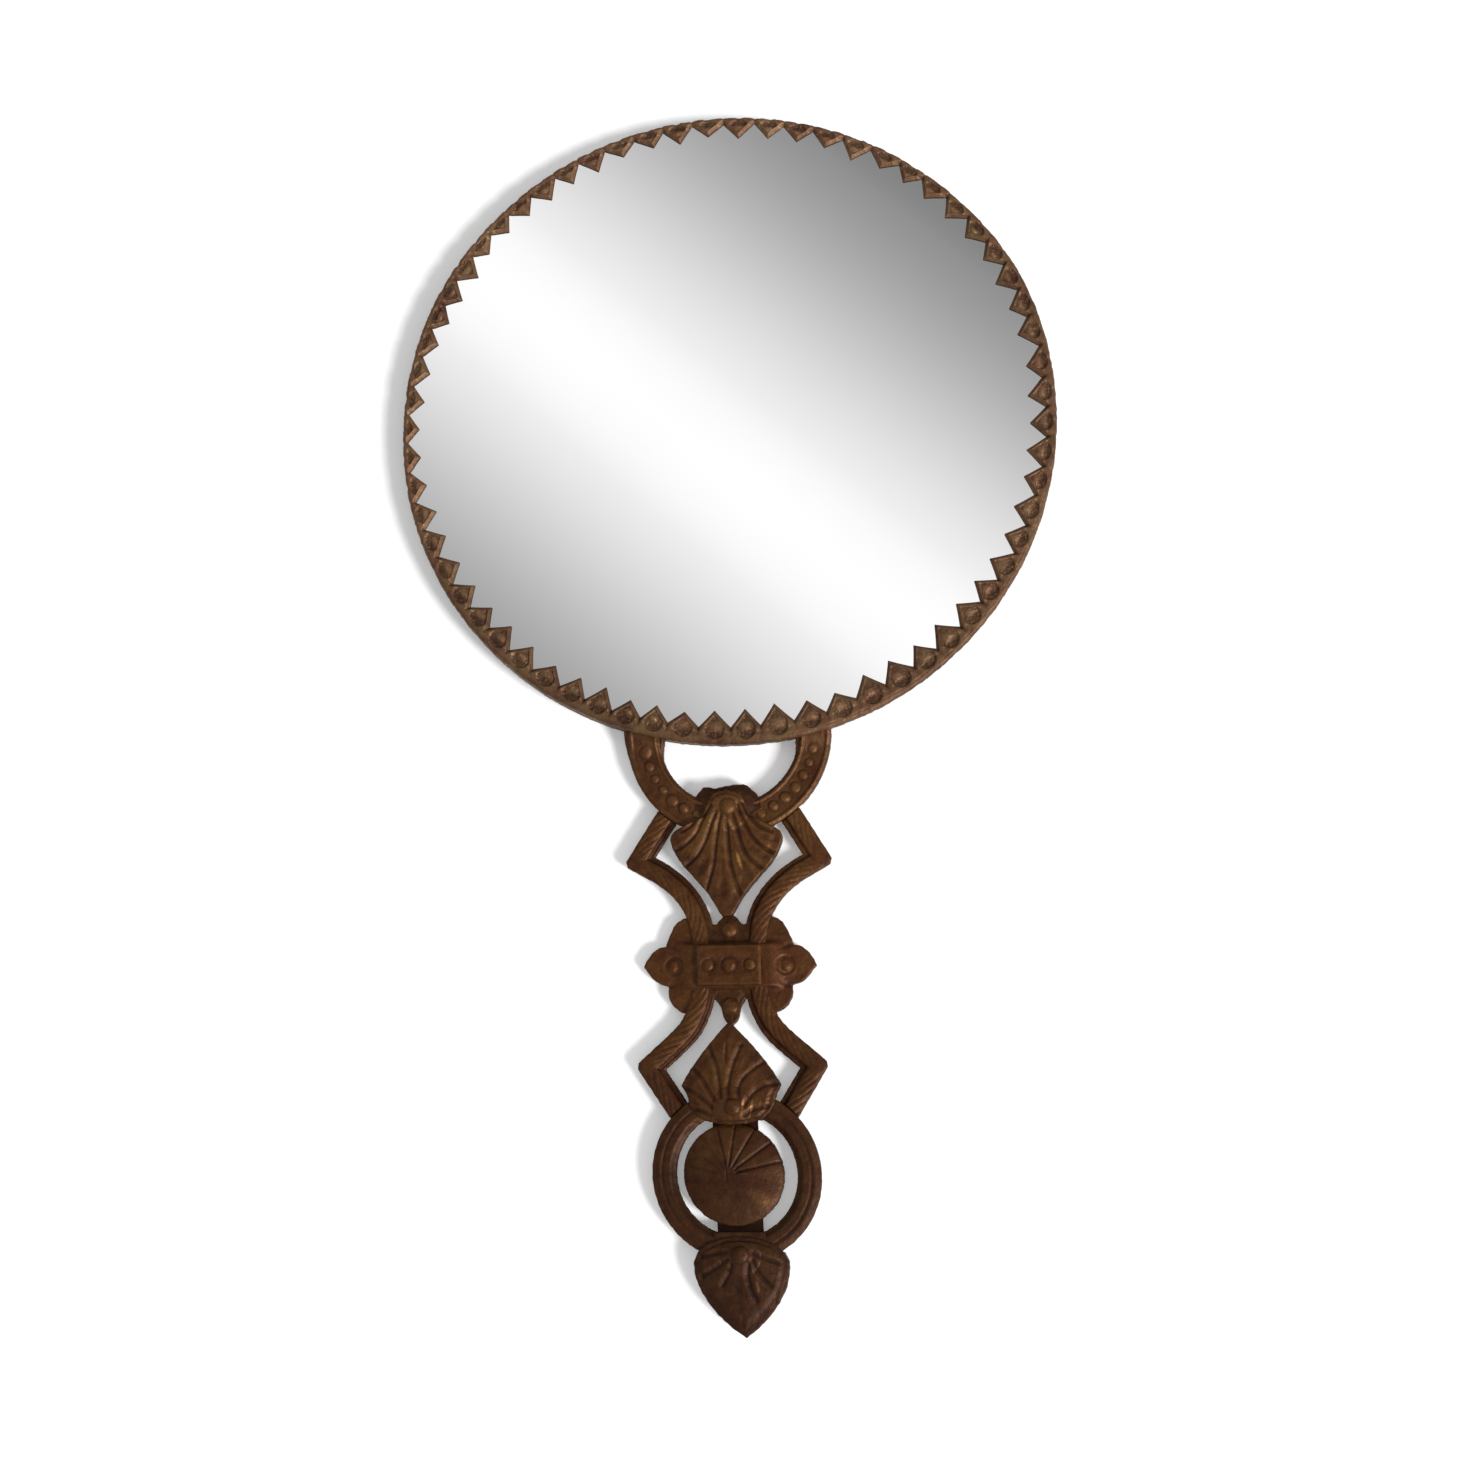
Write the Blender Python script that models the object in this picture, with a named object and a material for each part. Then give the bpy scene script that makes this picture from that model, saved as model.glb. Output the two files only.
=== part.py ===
"""Ornate brass hand mirror, lying on its back.

The glass sits in a round bezel whose triangular claws fold over its front. A back plate
closes the bezel from behind. The handle is built up in three layers: a rear layer of
plates, a middle frame of a yoke, two rope straps and a pommel ring, and a front layer of
fluted ornaments held by domed rivets.

Frame: origin at the centre of the back plate's outer face, +X to the right, +Y towards
the top of the head, +Z out of the glass. Lengths are in millimetres until the meshes are
made, when MM turns them into metres.
"""
import math

import bmesh
import bpy
from mathutils import Vector

MM = 0.001
GAP = 0.3                     # clearance between neighbouring pieces
FIT_RADIUS = 0.3              # a hole is this much larger than the shank in it

# Head
HEAD_RADIUS = 80.0
HEAD_DEPTH = 7.3
CLAW_COUNT = 65
CLAW_VALLEY_RADIUS = 76.8
CLAW_TIP_RADIUS = 73.3
CLAW_THICKNESS = 1.0
WALL_INNER_RADIUS = 77.2
BACK_PLATE_RADIUS = 79.8
BACK_PLATE_THICKNESS = 1.8
GLASS_RADIUS = 76.8
GLASS_THICKNESS = 2.9
CARD_THICKNESS = 0.7

HEAD_PIECES = ("bezel_ring", "mirror_glass", "backing_card", "back_plate")

# Screws that hold the back plate; the first pair also locks the yoke's tenons
SCREW_CIRCLE_RADIUS = 78.7
SCREW_ANGLES = (15.0, 60.0, 105.0, 150.0)      # from straight down, on both sides
SCREW_SHANK_RADIUS = 0.5
SCREW_HEAD_RADIUS = 1.1
SCREW_TOP = 5.5

# Layers of the handle
REAR_BOTTOM, REAR_TOP = 0.9, 1.9
FRAME_BOTTOM, FRAME_TOP = 2.2, 5.0
STRAP_EDGE_TOP, STRAP_TOP = 3.6, 4.4
FRONT_BOTTOM = FRAME_TOP + GAP
SEAT_TOP = 6.8                # level seat of a rivet on an ornament
LAP_TOP = 3.2                 # top of a strap's end where it passes under the frame

# The handle is slightly bowed: its axis is a parabola that leaves the head straight
BOW = 3.33e-4
BOW_START = -78.0
BOW_VERTEX = -119.0

# Yoke
YOKE_CENTRE = (0.0, -77.8)
YOKE_INNER_RADIUS = 16.4
YOKE_OUTER_RADIUS = 24.2
YOKE_LUG = [(8.6, -95.5), (8.2, -91.9), (5.0, -89.0)]
TENON_WIDTH = 4.4
TENON_TOP = 4.0

# Rope straps: the centre line of the right-hand one, from the yoke to the pommel ring
STRAP_WIDTH = 5.4
STRAP_RUNS = [
    [(12.0, -93.4), (14.5, -97.2), (20.2, -107.2)],
    [(20.2, -107.2), (14.7, -110.9), (10.3, -115.1), (7.2, -120.4), (6.1, -126.0),
     (5.9, -132.0), (6.2, -138.0), (7.6, -142.8), (10.6, -147.6), (18.9, -155.1)],
    [(18.9, -155.1), (12.8, -164.6), (11.2, -167.0)],
]

# Waist
WAIST_CENTRE = (0.0, -132.0)
WAIST_RUNS = [
    [(0.0, -119.6), (1.6, -120.6), (3.4, -122.3), (6.2, -121.2), (9.9, -120.6),
     (12.3, -121.8), (13.8, -124.2), (15.0, -127.2)],
    [(15.0, -127.2), (18.1, -128.7), (20.2, -132.0)],
    [(20.2, -132.0), (17.4, -135.4), (14.5, -136.6)],
    [(14.5, -136.6), (14.4, -139.2), (12.9, -141.6), (10.2, -142.8), (6.4, -141.2),
     (3.6, -139.6)],
    [(3.6, -139.6), (2.3, -141.8), (1.6, -144.4), (0.0, -146.0)],
]
CARTOUCHE_HALF = (7.4, 4.75)
CARTOUCHE_BOTTOM, CARTOUCHE_TOP = 4.7, 6.3
CARTOUCHE_RECESS = 0.4
CARTOUCHE_STUD_SPACING = 4.8
LOBE_STUD_X = 12.9
BEAD_YS = (-123.7, -141.2)

# Fluted ornaments of the front layer: the centre is the rivet's
ORNAMENT_RAYS = 60
ORNAMENT_SEAT_RADIUS = 2.8
FAN_CENTRE = (0.0, -95.2)
FAN_RUNS = [
    [(0.0, -91.0), (3.4, -92.2), (4.9, -95.0), (6.4, -97.6), (10.5, -99.6)],
    [(10.5, -99.6), (12.8, -101.2), (13.0, -103.6), (11.2, -107.4), (8.0, -111.2),
     (3.6, -116.0), (0.0, -120.4)],
]
PALMETTE_CENTRE = (0.0, -164.2)
PALMETTE_RUNS = [
    [(0.0, -144.8), (4.2, -149.2), (8.4, -154.4), (11.5, -159.2)],
    [(11.5, -159.2), (10.3, -161.4), (9.6, -164.0), (7.4, -166.6), (3.6, -167.9),
     (0.0, -168.2)],
]
LEAF_CENTRE = (0.0, -196.8)
LEAF_RUNS = [
    [(0.0, -192.9), (4.2, -193.4), (8.2, -194.9), (10.4, -197.2), (10.8, -200.0),
     (9.8, -204.0), (7.2, -208.4), (3.6, -212.2), (0.0, -214.9)],
]

# Pommel
RING_CENTRE = (0.0, -179.2)
RING_INNER_RADIUS = 13.7
RING_OUTER_RADIUS = 19.3
RING_TOP_PAD = (6.6, -167.4, -164.0)        # half width, inner edge, outer edge
RING_BOTTOM_PAD = (5.8, -191.6, -195.0)
ROUNDEL_RADIUS = 11.5
ROUNDEL_BAR_HALF_WIDTH = 5.2
ROUNDEL_BAR_ENDS = (-161.6, -198.4)
ROUNDEL_WALL_TOP, ROUNDEL_TOP = 3.6, 5.4

# Rivets: every stud of the handle is the head of one
SHANK_RADIUS = 0.8
TAIL_RADIUS = 1.4
TAIL_THICKNESS = 0.5
LARGE_STUD_RADIUS = 2.4
MIDDLE_STUD_RADIUS = 1.6
SMALL_STUD_RADIUS = 1.2
BEAD_RADIUS = 1.9


def clear_scene():
    """Remove whatever the file starts with."""
    for thing in list(bpy.data.objects):
        bpy.data.objects.remove(thing, do_unlink=True)


def make_material(name, colour, roughness, metallic):
    """A plain Principled material."""
    material = bpy.data.materials.new(name)
    material.use_nodes = True
    shader = material.node_tree.nodes["Principled BSDF"]
    shader.inputs["Base Color"].default_value = (*colour, 1.0)
    shader.inputs["Roughness"].default_value = roughness
    shader.inputs["Metallic"].default_value = metallic
    return material


def bowed(point):
    """Shift a point of the handle sideways onto its bowed axis."""
    x, y, z = point
    if y < BOW_START:
        x += BOW * ((y - BOW_VERTEX) ** 2 - (BOW_START - BOW_VERTEX) ** 2)
    return Vector((x, y, z))


def make_object(name, points, faces, material, smooth_angle=35.0):
    """A closed mesh object from points in millimetres."""
    on_head = name in HEAD_PIECES or name.startswith("back_screw")
    placed = [Vector(point) if on_head else bowed(point) for point in points]
    mesh = bpy.data.meshes.new(name)
    mesh.from_pydata([point * MM for point in placed], [], faces)
    work = bmesh.new()
    work.from_mesh(mesh)
    bmesh.ops.recalc_face_normals(work, faces=work.faces)
    work.to_mesh(mesh)
    work.free()
    mesh.shade_smooth()
    mesh.set_sharp_from_angle(angle=math.radians(smooth_angle))
    mesh.materials.append(material)
    thing = bpy.data.objects.new(name, mesh)
    bpy.context.scene.collection.objects.link(thing)
    return thing


def loft(name, loops, material, joined=False):
    """Skin equal loops of points; the ends are capped, or joined into a ring."""
    count = len(loops[0])
    points = [point for loop in loops for point in loop]
    faces = []
    spans = len(loops) if joined else len(loops) - 1
    for span in range(spans):
        low = span * count
        high = ((span + 1) % len(loops)) * count
        for i in range(count):
            j = (i + 1) % count
            faces.append((low + i, low + j, high + j, high + i))
    if not joined:
        faces.append(tuple(range(count)))
        faces.append(tuple((len(loops) - 1) * count + i for i in range(count)))
    return make_object(name, points, faces, material)


def circle(centre, radius, z, segments):
    """A level circle of points."""
    steps = [2.0 * math.pi * i / segments for i in range(segments)]
    return [(centre[0] + radius * math.cos(a), centre[1] + radius * math.sin(a), z)
            for a in steps]


def turned(name, centre, profile, segments, material):
    """A solid of revolution about Z from (radius, z) pairs."""
    loops = [circle(centre, radius, z, segments) for radius, z in profile]
    return loft(name, loops, material)


def prism(name, outline, bottom, top, material):
    """An upright prism over an outline of (x, y) points."""
    loops = [[(x, y, z) for x, y in outline] for z in (bottom, top)]
    return loft(name, loops, material)


def arc_section(name, centre, section, start, end, segments, material):
    """Sweep a closed (radius, z) section along an arc; a full turn joins up."""
    full = abs(end - start) >= 360.0
    stations = segments if full else segments + 1
    loops = []
    for i in range(stations):
        angle = math.radians(start + (end - start) * i / segments)
        across = (math.cos(angle), math.sin(angle))
        loops.append([(centre[0] + r * across[0], centre[1] + r * across[1], z)
                      for r, z in section])
    return loft(name, loops, material, joined=full)


def smooth_run(controls, steps):
    """Points on a Catmull-Rom curve through the control points."""
    knots = [Vector(control) for control in controls]
    if len(knots) == 2:
        return knots
    padded = [2.0 * knots[0] - knots[1], *knots, 2.0 * knots[-1] - knots[-2]]
    points = [knots[0]]
    for before, start, end, after in zip(padded, padded[1:], padded[2:], padded[3:]):
        for i in range(1, steps + 1):
            t = i / steps
            points.append(0.5 * (2.0 * start + (end - before) * t
                                 + (2.0 * before - 5.0 * start + 4.0 * end - after) * t * t
                                 + (3.0 * start - before - 3.0 * end + after) * t ** 3))
    return points


def mirrored_outline(runs, steps=3):
    """A closed outline from the runs of its right half, which start and end on the axis."""
    half = []
    for run in runs:
        half += smooth_run(run, steps)[:-1]
    half.append(Vector(runs[-1][-1]))
    left = [Vector((-point.x, point.y)) for point in reversed(half[1:-1])]
    return half + left


def reach(centre, outline, angle):
    """How far the outline lies from the centre along an angle from straight down."""
    direction = Vector((math.sin(angle), -math.cos(angle)))
    best = 0.0
    for a, b in zip(outline, outline[1:] + outline[:1]):
        first = a - Vector(centre)
        edge = b - a
        cross = direction.x * edge.y - direction.y * edge.x
        if abs(cross) < 1e-9:
            continue
        distance = (first.x * edge.y - first.y * edge.x) / cross
        along = (first.x * direction.y - first.y * direction.x) / cross
        if distance > 0.0 and -1e-6 <= along <= 1.0 + 1e-6:
            best = max(best, distance)
    return best


def polar_plate(name, centre, runs, height, material):
    """An ornament with a hole at its centre, a level seat round it, and a shaped top.

    height gives the top from the angle and the way from the seat to the rim, 0 to 1.
    """
    outline = mirrored_outline(runs)
    hole_radius = SHANK_RADIUS + FIT_RADIUS
    ways = (0.45, 1.0)
    loops = []
    for i in range(ORNAMENT_RAYS):
        angle = 2.0 * math.pi * i / ORNAMENT_RAYS
        edge = reach(centre, outline, angle)
        seat_radius = min(ORNAMENT_SEAT_RADIUS, 0.8 * edge)
        section = [(hole_radius, FRAME_BOTTOM), (hole_radius, SEAT_TOP),
                   (seat_radius, SEAT_TOP)]
        for way in ways:
            section.append((seat_radius + (edge - seat_radius) * way, height(angle, way)))
        section.append((edge, FRAME_BOTTOM))
        loops.append([(centre[0] + radius * math.sin(angle),
                       centre[1] - radius * math.cos(angle), z) for radius, z in section])
    return loft(name, loops, material, joined=True)


def boolean(target, other, operation, solver="EXACT"):
    """Join or cut with another object, which then stays out of the model."""
    other.hide_render = True
    other.display_type = "WIRE"
    other.hide_set(True)
    modifier = target.modifiers.new(other.name, "BOOLEAN")
    modifier.operation = operation
    modifier.solver = solver
    modifier.object = other


def drill(target, points, radius, bottom, top, material, solver="EXACT"):
    """Cut upright round holes at (x, y) points."""
    for number, point in enumerate(points):
        name = f"drill_{target.name}_{radius:g}_{number}"
        bit = turned(name, point, [(radius, bottom), (radius, top)], 12, material)
        boolean(target, bit, "DIFFERENCE", solver)


def both_sides(x, y):
    """A point and its mirror image."""
    return [(x, y), (-x, y)]


def screw_points():
    """Where the back screws stand, in pairs from the bottom up."""
    points = []
    for angle in SCREW_ANGLES:
        turn = math.radians(angle)
        points += both_sides(SCREW_CIRCLE_RADIUS * math.sin(turn),
                             -SCREW_CIRCLE_RADIUS * math.cos(turn))
    return points


def tenon_outline(sign, width, inner, outer):
    """The outline of a tenon, or of its mortise, under the bezel's wall."""
    turn = math.radians(SCREW_ANGLES[0])
    outward = Vector((sign * math.sin(turn), -math.cos(turn)))
    across = Vector((-outward.y, outward.x)) * width / 2.0
    return [outward * inner - across, outward * outer - across,
            outward * outer + across, outward * inner + across]


def build_bezel(brass):
    """The bezel: a deep wall and a ring of triangular claws folded over the glass."""
    wall_bottom = BACK_PLATE_THICKNESS + GAP
    claw_bottom = HEAD_DEPTH - CLAW_THICKNESS
    loops = []
    for i in range(2 * CLAW_COUNT):
        angle = math.pi * i / CLAW_COUNT - math.pi / 2.0
        is_tip = i % 2 == 1
        inner = CLAW_TIP_RADIUS if is_tip else CLAW_VALLEY_RADIUS
        section = [
            (WALL_INNER_RADIUS, wall_bottom),
            (HEAD_RADIUS, wall_bottom),
            (HEAD_RADIUS, HEAD_DEPTH - 0.6),
            (HEAD_RADIUS - 0.6, HEAD_DEPTH),
            (HEAD_RADIUS - 3.4, HEAD_DEPTH if is_tip else HEAD_DEPTH - 0.35),
            (inner, claw_bottom + 0.6),
            (inner, claw_bottom),
            (WALL_INNER_RADIUS, claw_bottom),
        ]
        loops.append([(r * math.cos(angle), r * math.sin(angle), z) for r, z in section])
    bezel = loft("bezel_ring", loops, brass, joined=True)
    drill(bezel, screw_points(), SCREW_SHANK_RADIUS + FIT_RADIUS, 0.0, SCREW_TOP + GAP, brass)
    for sign, side in ((1, "right"), (-1, "left")):
        outline = tenon_outline(sign, TENON_WIDTH + 2.0 * GAP, 70.0, 90.0)
        mortise = prism(f"mortise_{side}", outline, 0.0, TENON_TOP + GAP, brass)
        boolean(bezel, mortise, "DIFFERENCE")


def build_glass_and_back(glass, card, brass):
    """The mirror glass, the card behind it and the screwed-on back plate."""
    card_bottom = BACK_PLATE_THICKNESS + GAP
    glass_bottom = card_bottom + CARD_THICKNESS + GAP
    glass_top = glass_bottom + GLASS_THICKNESS
    edge = 0.4
    turned("mirror_glass", (0, 0), [
        (GLASS_RADIUS - edge, glass_bottom), (GLASS_RADIUS, glass_bottom + edge),
        (GLASS_RADIUS, glass_top - edge), (GLASS_RADIUS - edge, glass_top)], 96, glass)
    turned("backing_card", (0, 0), [
        (GLASS_RADIUS, card_bottom), (GLASS_RADIUS, card_bottom + CARD_THICKNESS)], 96, card)
    plate = turned("back_plate", (0, 0), [
        (BACK_PLATE_RADIUS - edge, 0.0), (BACK_PLATE_RADIUS, edge),
        (BACK_PLATE_RADIUS, BACK_PLATE_THICKNESS)], 96, brass)
    drill(plate, screw_points(), SCREW_SHANK_RADIUS + FIT_RADIUS, -1.0, 3.0, brass)
    drill(plate, screw_points(), SCREW_HEAD_RADIUS + FIT_RADIUS, -1.0, 1.0, brass)


def build_screws(brass):
    """Pan-head screws, sunk just below the back plate's outer face."""
    head_bottom, head_top = 0.1, 0.7
    for number, point in enumerate(screw_points(), start=1):
        turned(f"back_screw_{number}", point, [
            (SCREW_HEAD_RADIUS - 0.3, head_bottom), (SCREW_HEAD_RADIUS, head_bottom + 0.2),
            (SCREW_HEAD_RADIUS, head_top), (SCREW_SHANK_RADIUS, head_top),
            (SCREW_SHANK_RADIUS, SCREW_TOP - 0.4), (SCREW_SHANK_RADIUS / 2.0, SCREW_TOP),
        ], 12, brass)


def strap_outline(width):
    """Both edges of the right-hand strap, mitred at its two knees."""
    centre_line = []
    for run in STRAP_RUNS:
        centre_line += smooth_run(run, 3)[:-1]
    centre_line.append(Vector(STRAP_RUNS[-1][-1]))
    edges = []
    for i, point in enumerate(centre_line):
        before = (point - centre_line[max(i - 1, 0)]).normalized()
        after = (centre_line[min(i + 1, len(centre_line) - 1)] - point).normalized()
        if i == 0:
            before = after
        if i == len(centre_line) - 1:
            after = before
        bisector = (before + after).normalized()
        side = Vector((-bisector.y, bisector.x)) / max(bisector.dot(before), 0.5)
        edges.append((point - side * width / 2.0, point, point + side * width / 2.0))
    return edges


def strap(name, sign, width, bottom, edge_top, top, material):
    """A strap with a domed top; sign -1 makes the left-hand one."""
    loops = []
    for outer, middle, inner in strap_outline(width):
        loops.append([(sign * outer.x, outer.y, bottom), (sign * outer.x, outer.y, edge_top),
                      (sign * middle.x, middle.y, top), (sign * inner.x, inner.y, edge_top),
                      (sign * inner.x, inner.y, bottom)])
    return loft(name, loops, material)


def cut_strap_laps(target, material):
    """Make room under a frame piece for the thinned ends of both straps."""
    for sign, side in ((1, "right"), (-1, "left")):
        room = LAP_TOP + GAP
        cutter = strap(f"lap_{target.name}_{side}", sign, STRAP_WIDTH + 2.0 * GAP, 0.0,
                       room, room, material)
        boolean(target, cutter, "DIFFERENCE")


def build_yoke(brass):
    """The half-round yoke between the head and the handle, with its lug and tenons."""
    inner, outer = YOKE_INNER_RADIUS, YOKE_OUTER_RADIUS
    groove = FRAME_TOP - 0.8
    section = [(inner, FRAME_BOTTOM), (outer, FRAME_BOTTOM), (outer, FRAME_TOP - 0.3),
               (outer - 0.5, FRAME_TOP), (outer - 1.6, FRAME_TOP), (outer - 2.1, groove),
               (inner + 2.1, groove), (inner + 1.6, FRAME_TOP), (inner + 0.5, FRAME_TOP),
               (inner, FRAME_TOP - 0.3)]
    yoke = arc_section("yoke", YOKE_CENTRE, section, 15.0, -195.0, 30, brass)
    lug_outline = YOKE_LUG + [(-x, y) for x, y in reversed(YOKE_LUG)]
    boolean(yoke, prism("yoke_lug", lug_outline, FRAME_BOTTOM, FRAME_TOP, brass), "UNION")
    clear_of_head = turned("yoke_trim", (0, 0), [(HEAD_RADIUS + GAP, 0.0),
                                                 (HEAD_RADIUS + GAP, 9.0)], 128, brass)
    boolean(yoke, clear_of_head, "DIFFERENCE")
    for sign, side in ((1, "right"), (-1, "left")):
        outline = tenon_outline(sign, TENON_WIDTH, WALL_INNER_RADIUS + GAP, 84.0)
        tenon = prism(f"tenon_{side}", outline, FRAME_BOTTOM, TENON_TOP, brass)
        boolean(yoke, tenon, "UNION")
    cut_strap_laps(yoke, brass)
    drill(yoke, screw_points()[:2], SCREW_SHANK_RADIUS + FIT_RADIUS, 0.0, 9.0, brass)
    drill(yoke, [FAN_CENTRE], SHANK_RADIUS + FIT_RADIUS, 0.0, 9.0, brass)


def build_straps(brass):
    """The two rope straps; their ends are thinned to pass under the frame pieces."""
    for sign, side in ((1, "right"), (-1, "left")):
        piece = strap(f"rope_strap_{side}", sign, STRAP_WIDTH, FRAME_BOTTOM, STRAP_EDGE_TOP,
                      STRAP_TOP, brass)
        for place, centre, inner, outer in (
                ("yoke", YOKE_CENTRE, YOKE_INNER_RADIUS, YOKE_OUTER_RADIUS),
                ("ring", RING_CENTRE, RING_INNER_RADIUS, RING_OUTER_RADIUS)):
            section = [(inner - 4.0, LAP_TOP), (outer + GAP, LAP_TOP),
                       (outer + GAP, 9.0), (inner - 4.0, 9.0)]
            cutter = arc_section(f"thin_{place}_{side}", centre, section, 0.0, 360.0, 64, brass)
            boolean(piece, cutter, "DIFFERENCE")
        drill(piece, [(sign * CARTOUCHE_STUD_SPACING, WAIST_CENTRE[1])],
              SHANK_RADIUS + FIT_RADIUS, 0.0, 9.0, brass)


def build_waist(brass):
    """The lobed plate behind the straps and the cartouche in front of them."""
    plate = prism("waist_plate", mirrored_outline(WAIST_RUNS), REAR_BOTTOM, REAR_TOP, brass)
    hole = SHANK_RADIUS + FIT_RADIUS
    middle = WAIST_CENTRE[1]
    studs = [(0.0, middle)] + both_sides(CARTOUCHE_STUD_SPACING, middle)
    side_studs = both_sides(LOBE_STUD_X, middle)
    beads = [(0.0, y) for y in BEAD_YS]
    drill(plate, studs + side_studs + beads, hole, 0.0, 9.0, brass)

    half_x, half_y = CARTOUCHE_HALF
    panel = CARTOUCHE_TOP - CARTOUCHE_RECESS
    steps = [(0.0, CARTOUCHE_BOTTOM), (0.0, panel), (0.5, CARTOUCHE_TOP),
             (1.2, CARTOUCHE_TOP), (1.5, panel)]
    loops = []
    for inset, z in steps:
        x, y = half_x - inset, half_y - inset
        loops.append([(x, middle + y, z), (-x, middle + y, z),
                      (-x, middle - y, z), (x, middle - y, z)])
    cartouche = loft("cartouche_plate", loops, brass)
    drill(cartouche, studs, hole, 0.0, 9.0, brass)


def lobed_height(base, amplitude, lobes_per_turn, fall):
    """Flutes that deepen outwards and fall towards the rim."""
    def height(angle, way):
        flute = 0.5 + 0.5 * math.cos(lobes_per_turn * angle)
        return base - fall * way * way + amplitude * way * (flute - 0.5)
    return height


def build_ornaments(brass):
    """The fan, the palmette and the terminal leaf, each notched round the frame."""
    flutes = lobed_height(SEAT_TOP, 0.7, 15, 0.5)
    leaf_flutes = lobed_height(SEAT_TOP, 0.6, 12, 0.9)
    fan = polar_plate("fan_shell", FAN_CENTRE, FAN_RUNS, flutes, brass)
    palmette = polar_plate("palmette", PALMETTE_CENTRE, PALMETTE_RUNS, flutes, brass)
    leaf = polar_plate("terminal_leaf", LEAF_CENTRE, LEAF_RUNS, leaf_flutes, brass)
    notches = (
        (fan, YOKE_CENTRE, 10.0, YOKE_OUTER_RADIUS + GAP),
        (palmette, RING_CENTRE, 9.0, RING_OUTER_RADIUS + GAP),
        (leaf, RING_CENTRE, 9.0, RING_OUTER_RADIUS + GAP),
    )
    for piece, centre, inner, outer in notches:
        section = [(inner, 0.0), (outer, 0.0), (outer, FRONT_BOTTOM), (inner, FRONT_BOTTOM)]
        cutter = arc_section(f"notch_{piece.name}", centre, section, 0.0, 360.0, 60, brass)
        boolean(piece, cutter, "DIFFERENCE")


def build_pommel(brass):
    """The banded pommel ring and the domed roundel inside it."""
    inner, outer = RING_INNER_RADIUS, RING_OUTER_RADIUS
    section = [(inner, FRAME_BOTTOM), (outer, FRAME_BOTTOM), (outer, FRAME_TOP - 0.5),
               (outer - 0.6, FRAME_TOP), (inner + 2.2, FRAME_TOP), (inner + 1.5, FRAME_TOP - 0.8),
               (inner, FRAME_TOP - 1.1)]
    ring = arc_section("pommel_ring", RING_CENTRE, section, 0.0, 360.0, 60, brass)
    for place, (half, near, far) in (("top", RING_TOP_PAD), ("bottom", RING_BOTTOM_PAD)):
        outline = [(half, near), (-half, near), (-half, far), (half, far)]
        pad = prism(f"ring_pad_{place}", outline, FRAME_BOTTOM + 0.2, FRAME_TOP - 0.2, brass)
        boolean(ring, pad, "UNION")
    hole = SHANK_RADIUS + FIT_RADIUS
    cut_strap_laps(ring, brass)
    drill(ring, [PALMETTE_CENTRE, LEAF_CENTRE], hole, 0.0, 9.0, brass, "MANIFOLD")

    roundel = turned("roundel", RING_CENTRE, [
        (ROUNDEL_RADIUS, REAR_BOTTOM), (ROUNDEL_RADIUS, ROUNDEL_WALL_TOP),
        (ROUNDEL_RADIUS * 0.85, ROUNDEL_TOP - 0.8), (ROUNDEL_RADIUS * 0.5, ROUNDEL_TOP - 0.1),
        (ROUNDEL_RADIUS * 0.2, ROUNDEL_TOP)], 48, brass)
    top, bottom = ROUNDEL_BAR_ENDS
    half = ROUNDEL_BAR_HALF_WIDTH
    bar_outline = [(half, top), (-half, top), (-half, bottom), (half, bottom)]
    boolean(roundel, prism("roundel_bar", bar_outline, REAR_BOTTOM, REAR_TOP, brass), "UNION")
    drill(roundel, [PALMETTE_CENTRE, LEAF_CENTRE], hole, 0.0, 9.0, brass)


def rivet(name, point, rear, seat, head_radius, head_height, material):
    """A domed rivet: a spread tail under the rear face, and a domed head on the seat."""
    tail_top = rear - GAP
    head_bottom = seat + GAP
    profile = [(SHANK_RADIUS, tail_top - TAIL_THICKNESS), (TAIL_RADIUS, tail_top - 0.2),
               (TAIL_RADIUS, tail_top), (SHANK_RADIUS, tail_top), (SHANK_RADIUS, head_bottom),
               (head_radius, head_bottom)]
    for degrees in (25.0, 50.0, 72.0):
        turn = math.radians(degrees)
        profile.append((head_radius * math.cos(turn),
                        head_bottom + head_height * math.sin(turn)))
    turned(name, point, profile, 12, material)


def build_rivets(brass):
    """Every domed stud of the handle."""
    middle = WAIST_CENTRE[1]
    rivet("fan_rivet", FAN_CENTRE, FRAME_BOTTOM, SEAT_TOP, LARGE_STUD_RADIUS, 1.5, brass)
    rivet("palmette_rivet", PALMETTE_CENTRE, REAR_BOTTOM, SEAT_TOP, LARGE_STUD_RADIUS, 1.2,
          brass)
    rivet("leaf_rivet", LEAF_CENTRE, REAR_BOTTOM, SEAT_TOP, LARGE_STUD_RADIUS, 1.2, brass)
    panel = CARTOUCHE_TOP - CARTOUCHE_RECESS
    rivet("cartouche_rivet_middle", (0.0, middle), REAR_BOTTOM, panel, MIDDLE_STUD_RADIUS, 0.9,
          brass)
    for sign, side in ((1, "right"), (-1, "left")):
        rivet(f"cartouche_rivet_{side}", (sign * CARTOUCHE_STUD_SPACING, middle), REAR_BOTTOM,
              panel, SMALL_STUD_RADIUS, 0.7, brass)
        rivet(f"lobe_rivet_{side}", (sign * LOBE_STUD_X, middle), REAR_BOTTOM, REAR_TOP,
              MIDDLE_STUD_RADIUS, 1.2, brass)
    for y, place in zip(BEAD_YS, ("upper", "lower")):
        rivet(f"bead_{place}", (0.0, y), REAR_BOTTOM, REAR_TOP, BEAD_RADIUS, 2.2, brass)


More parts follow.
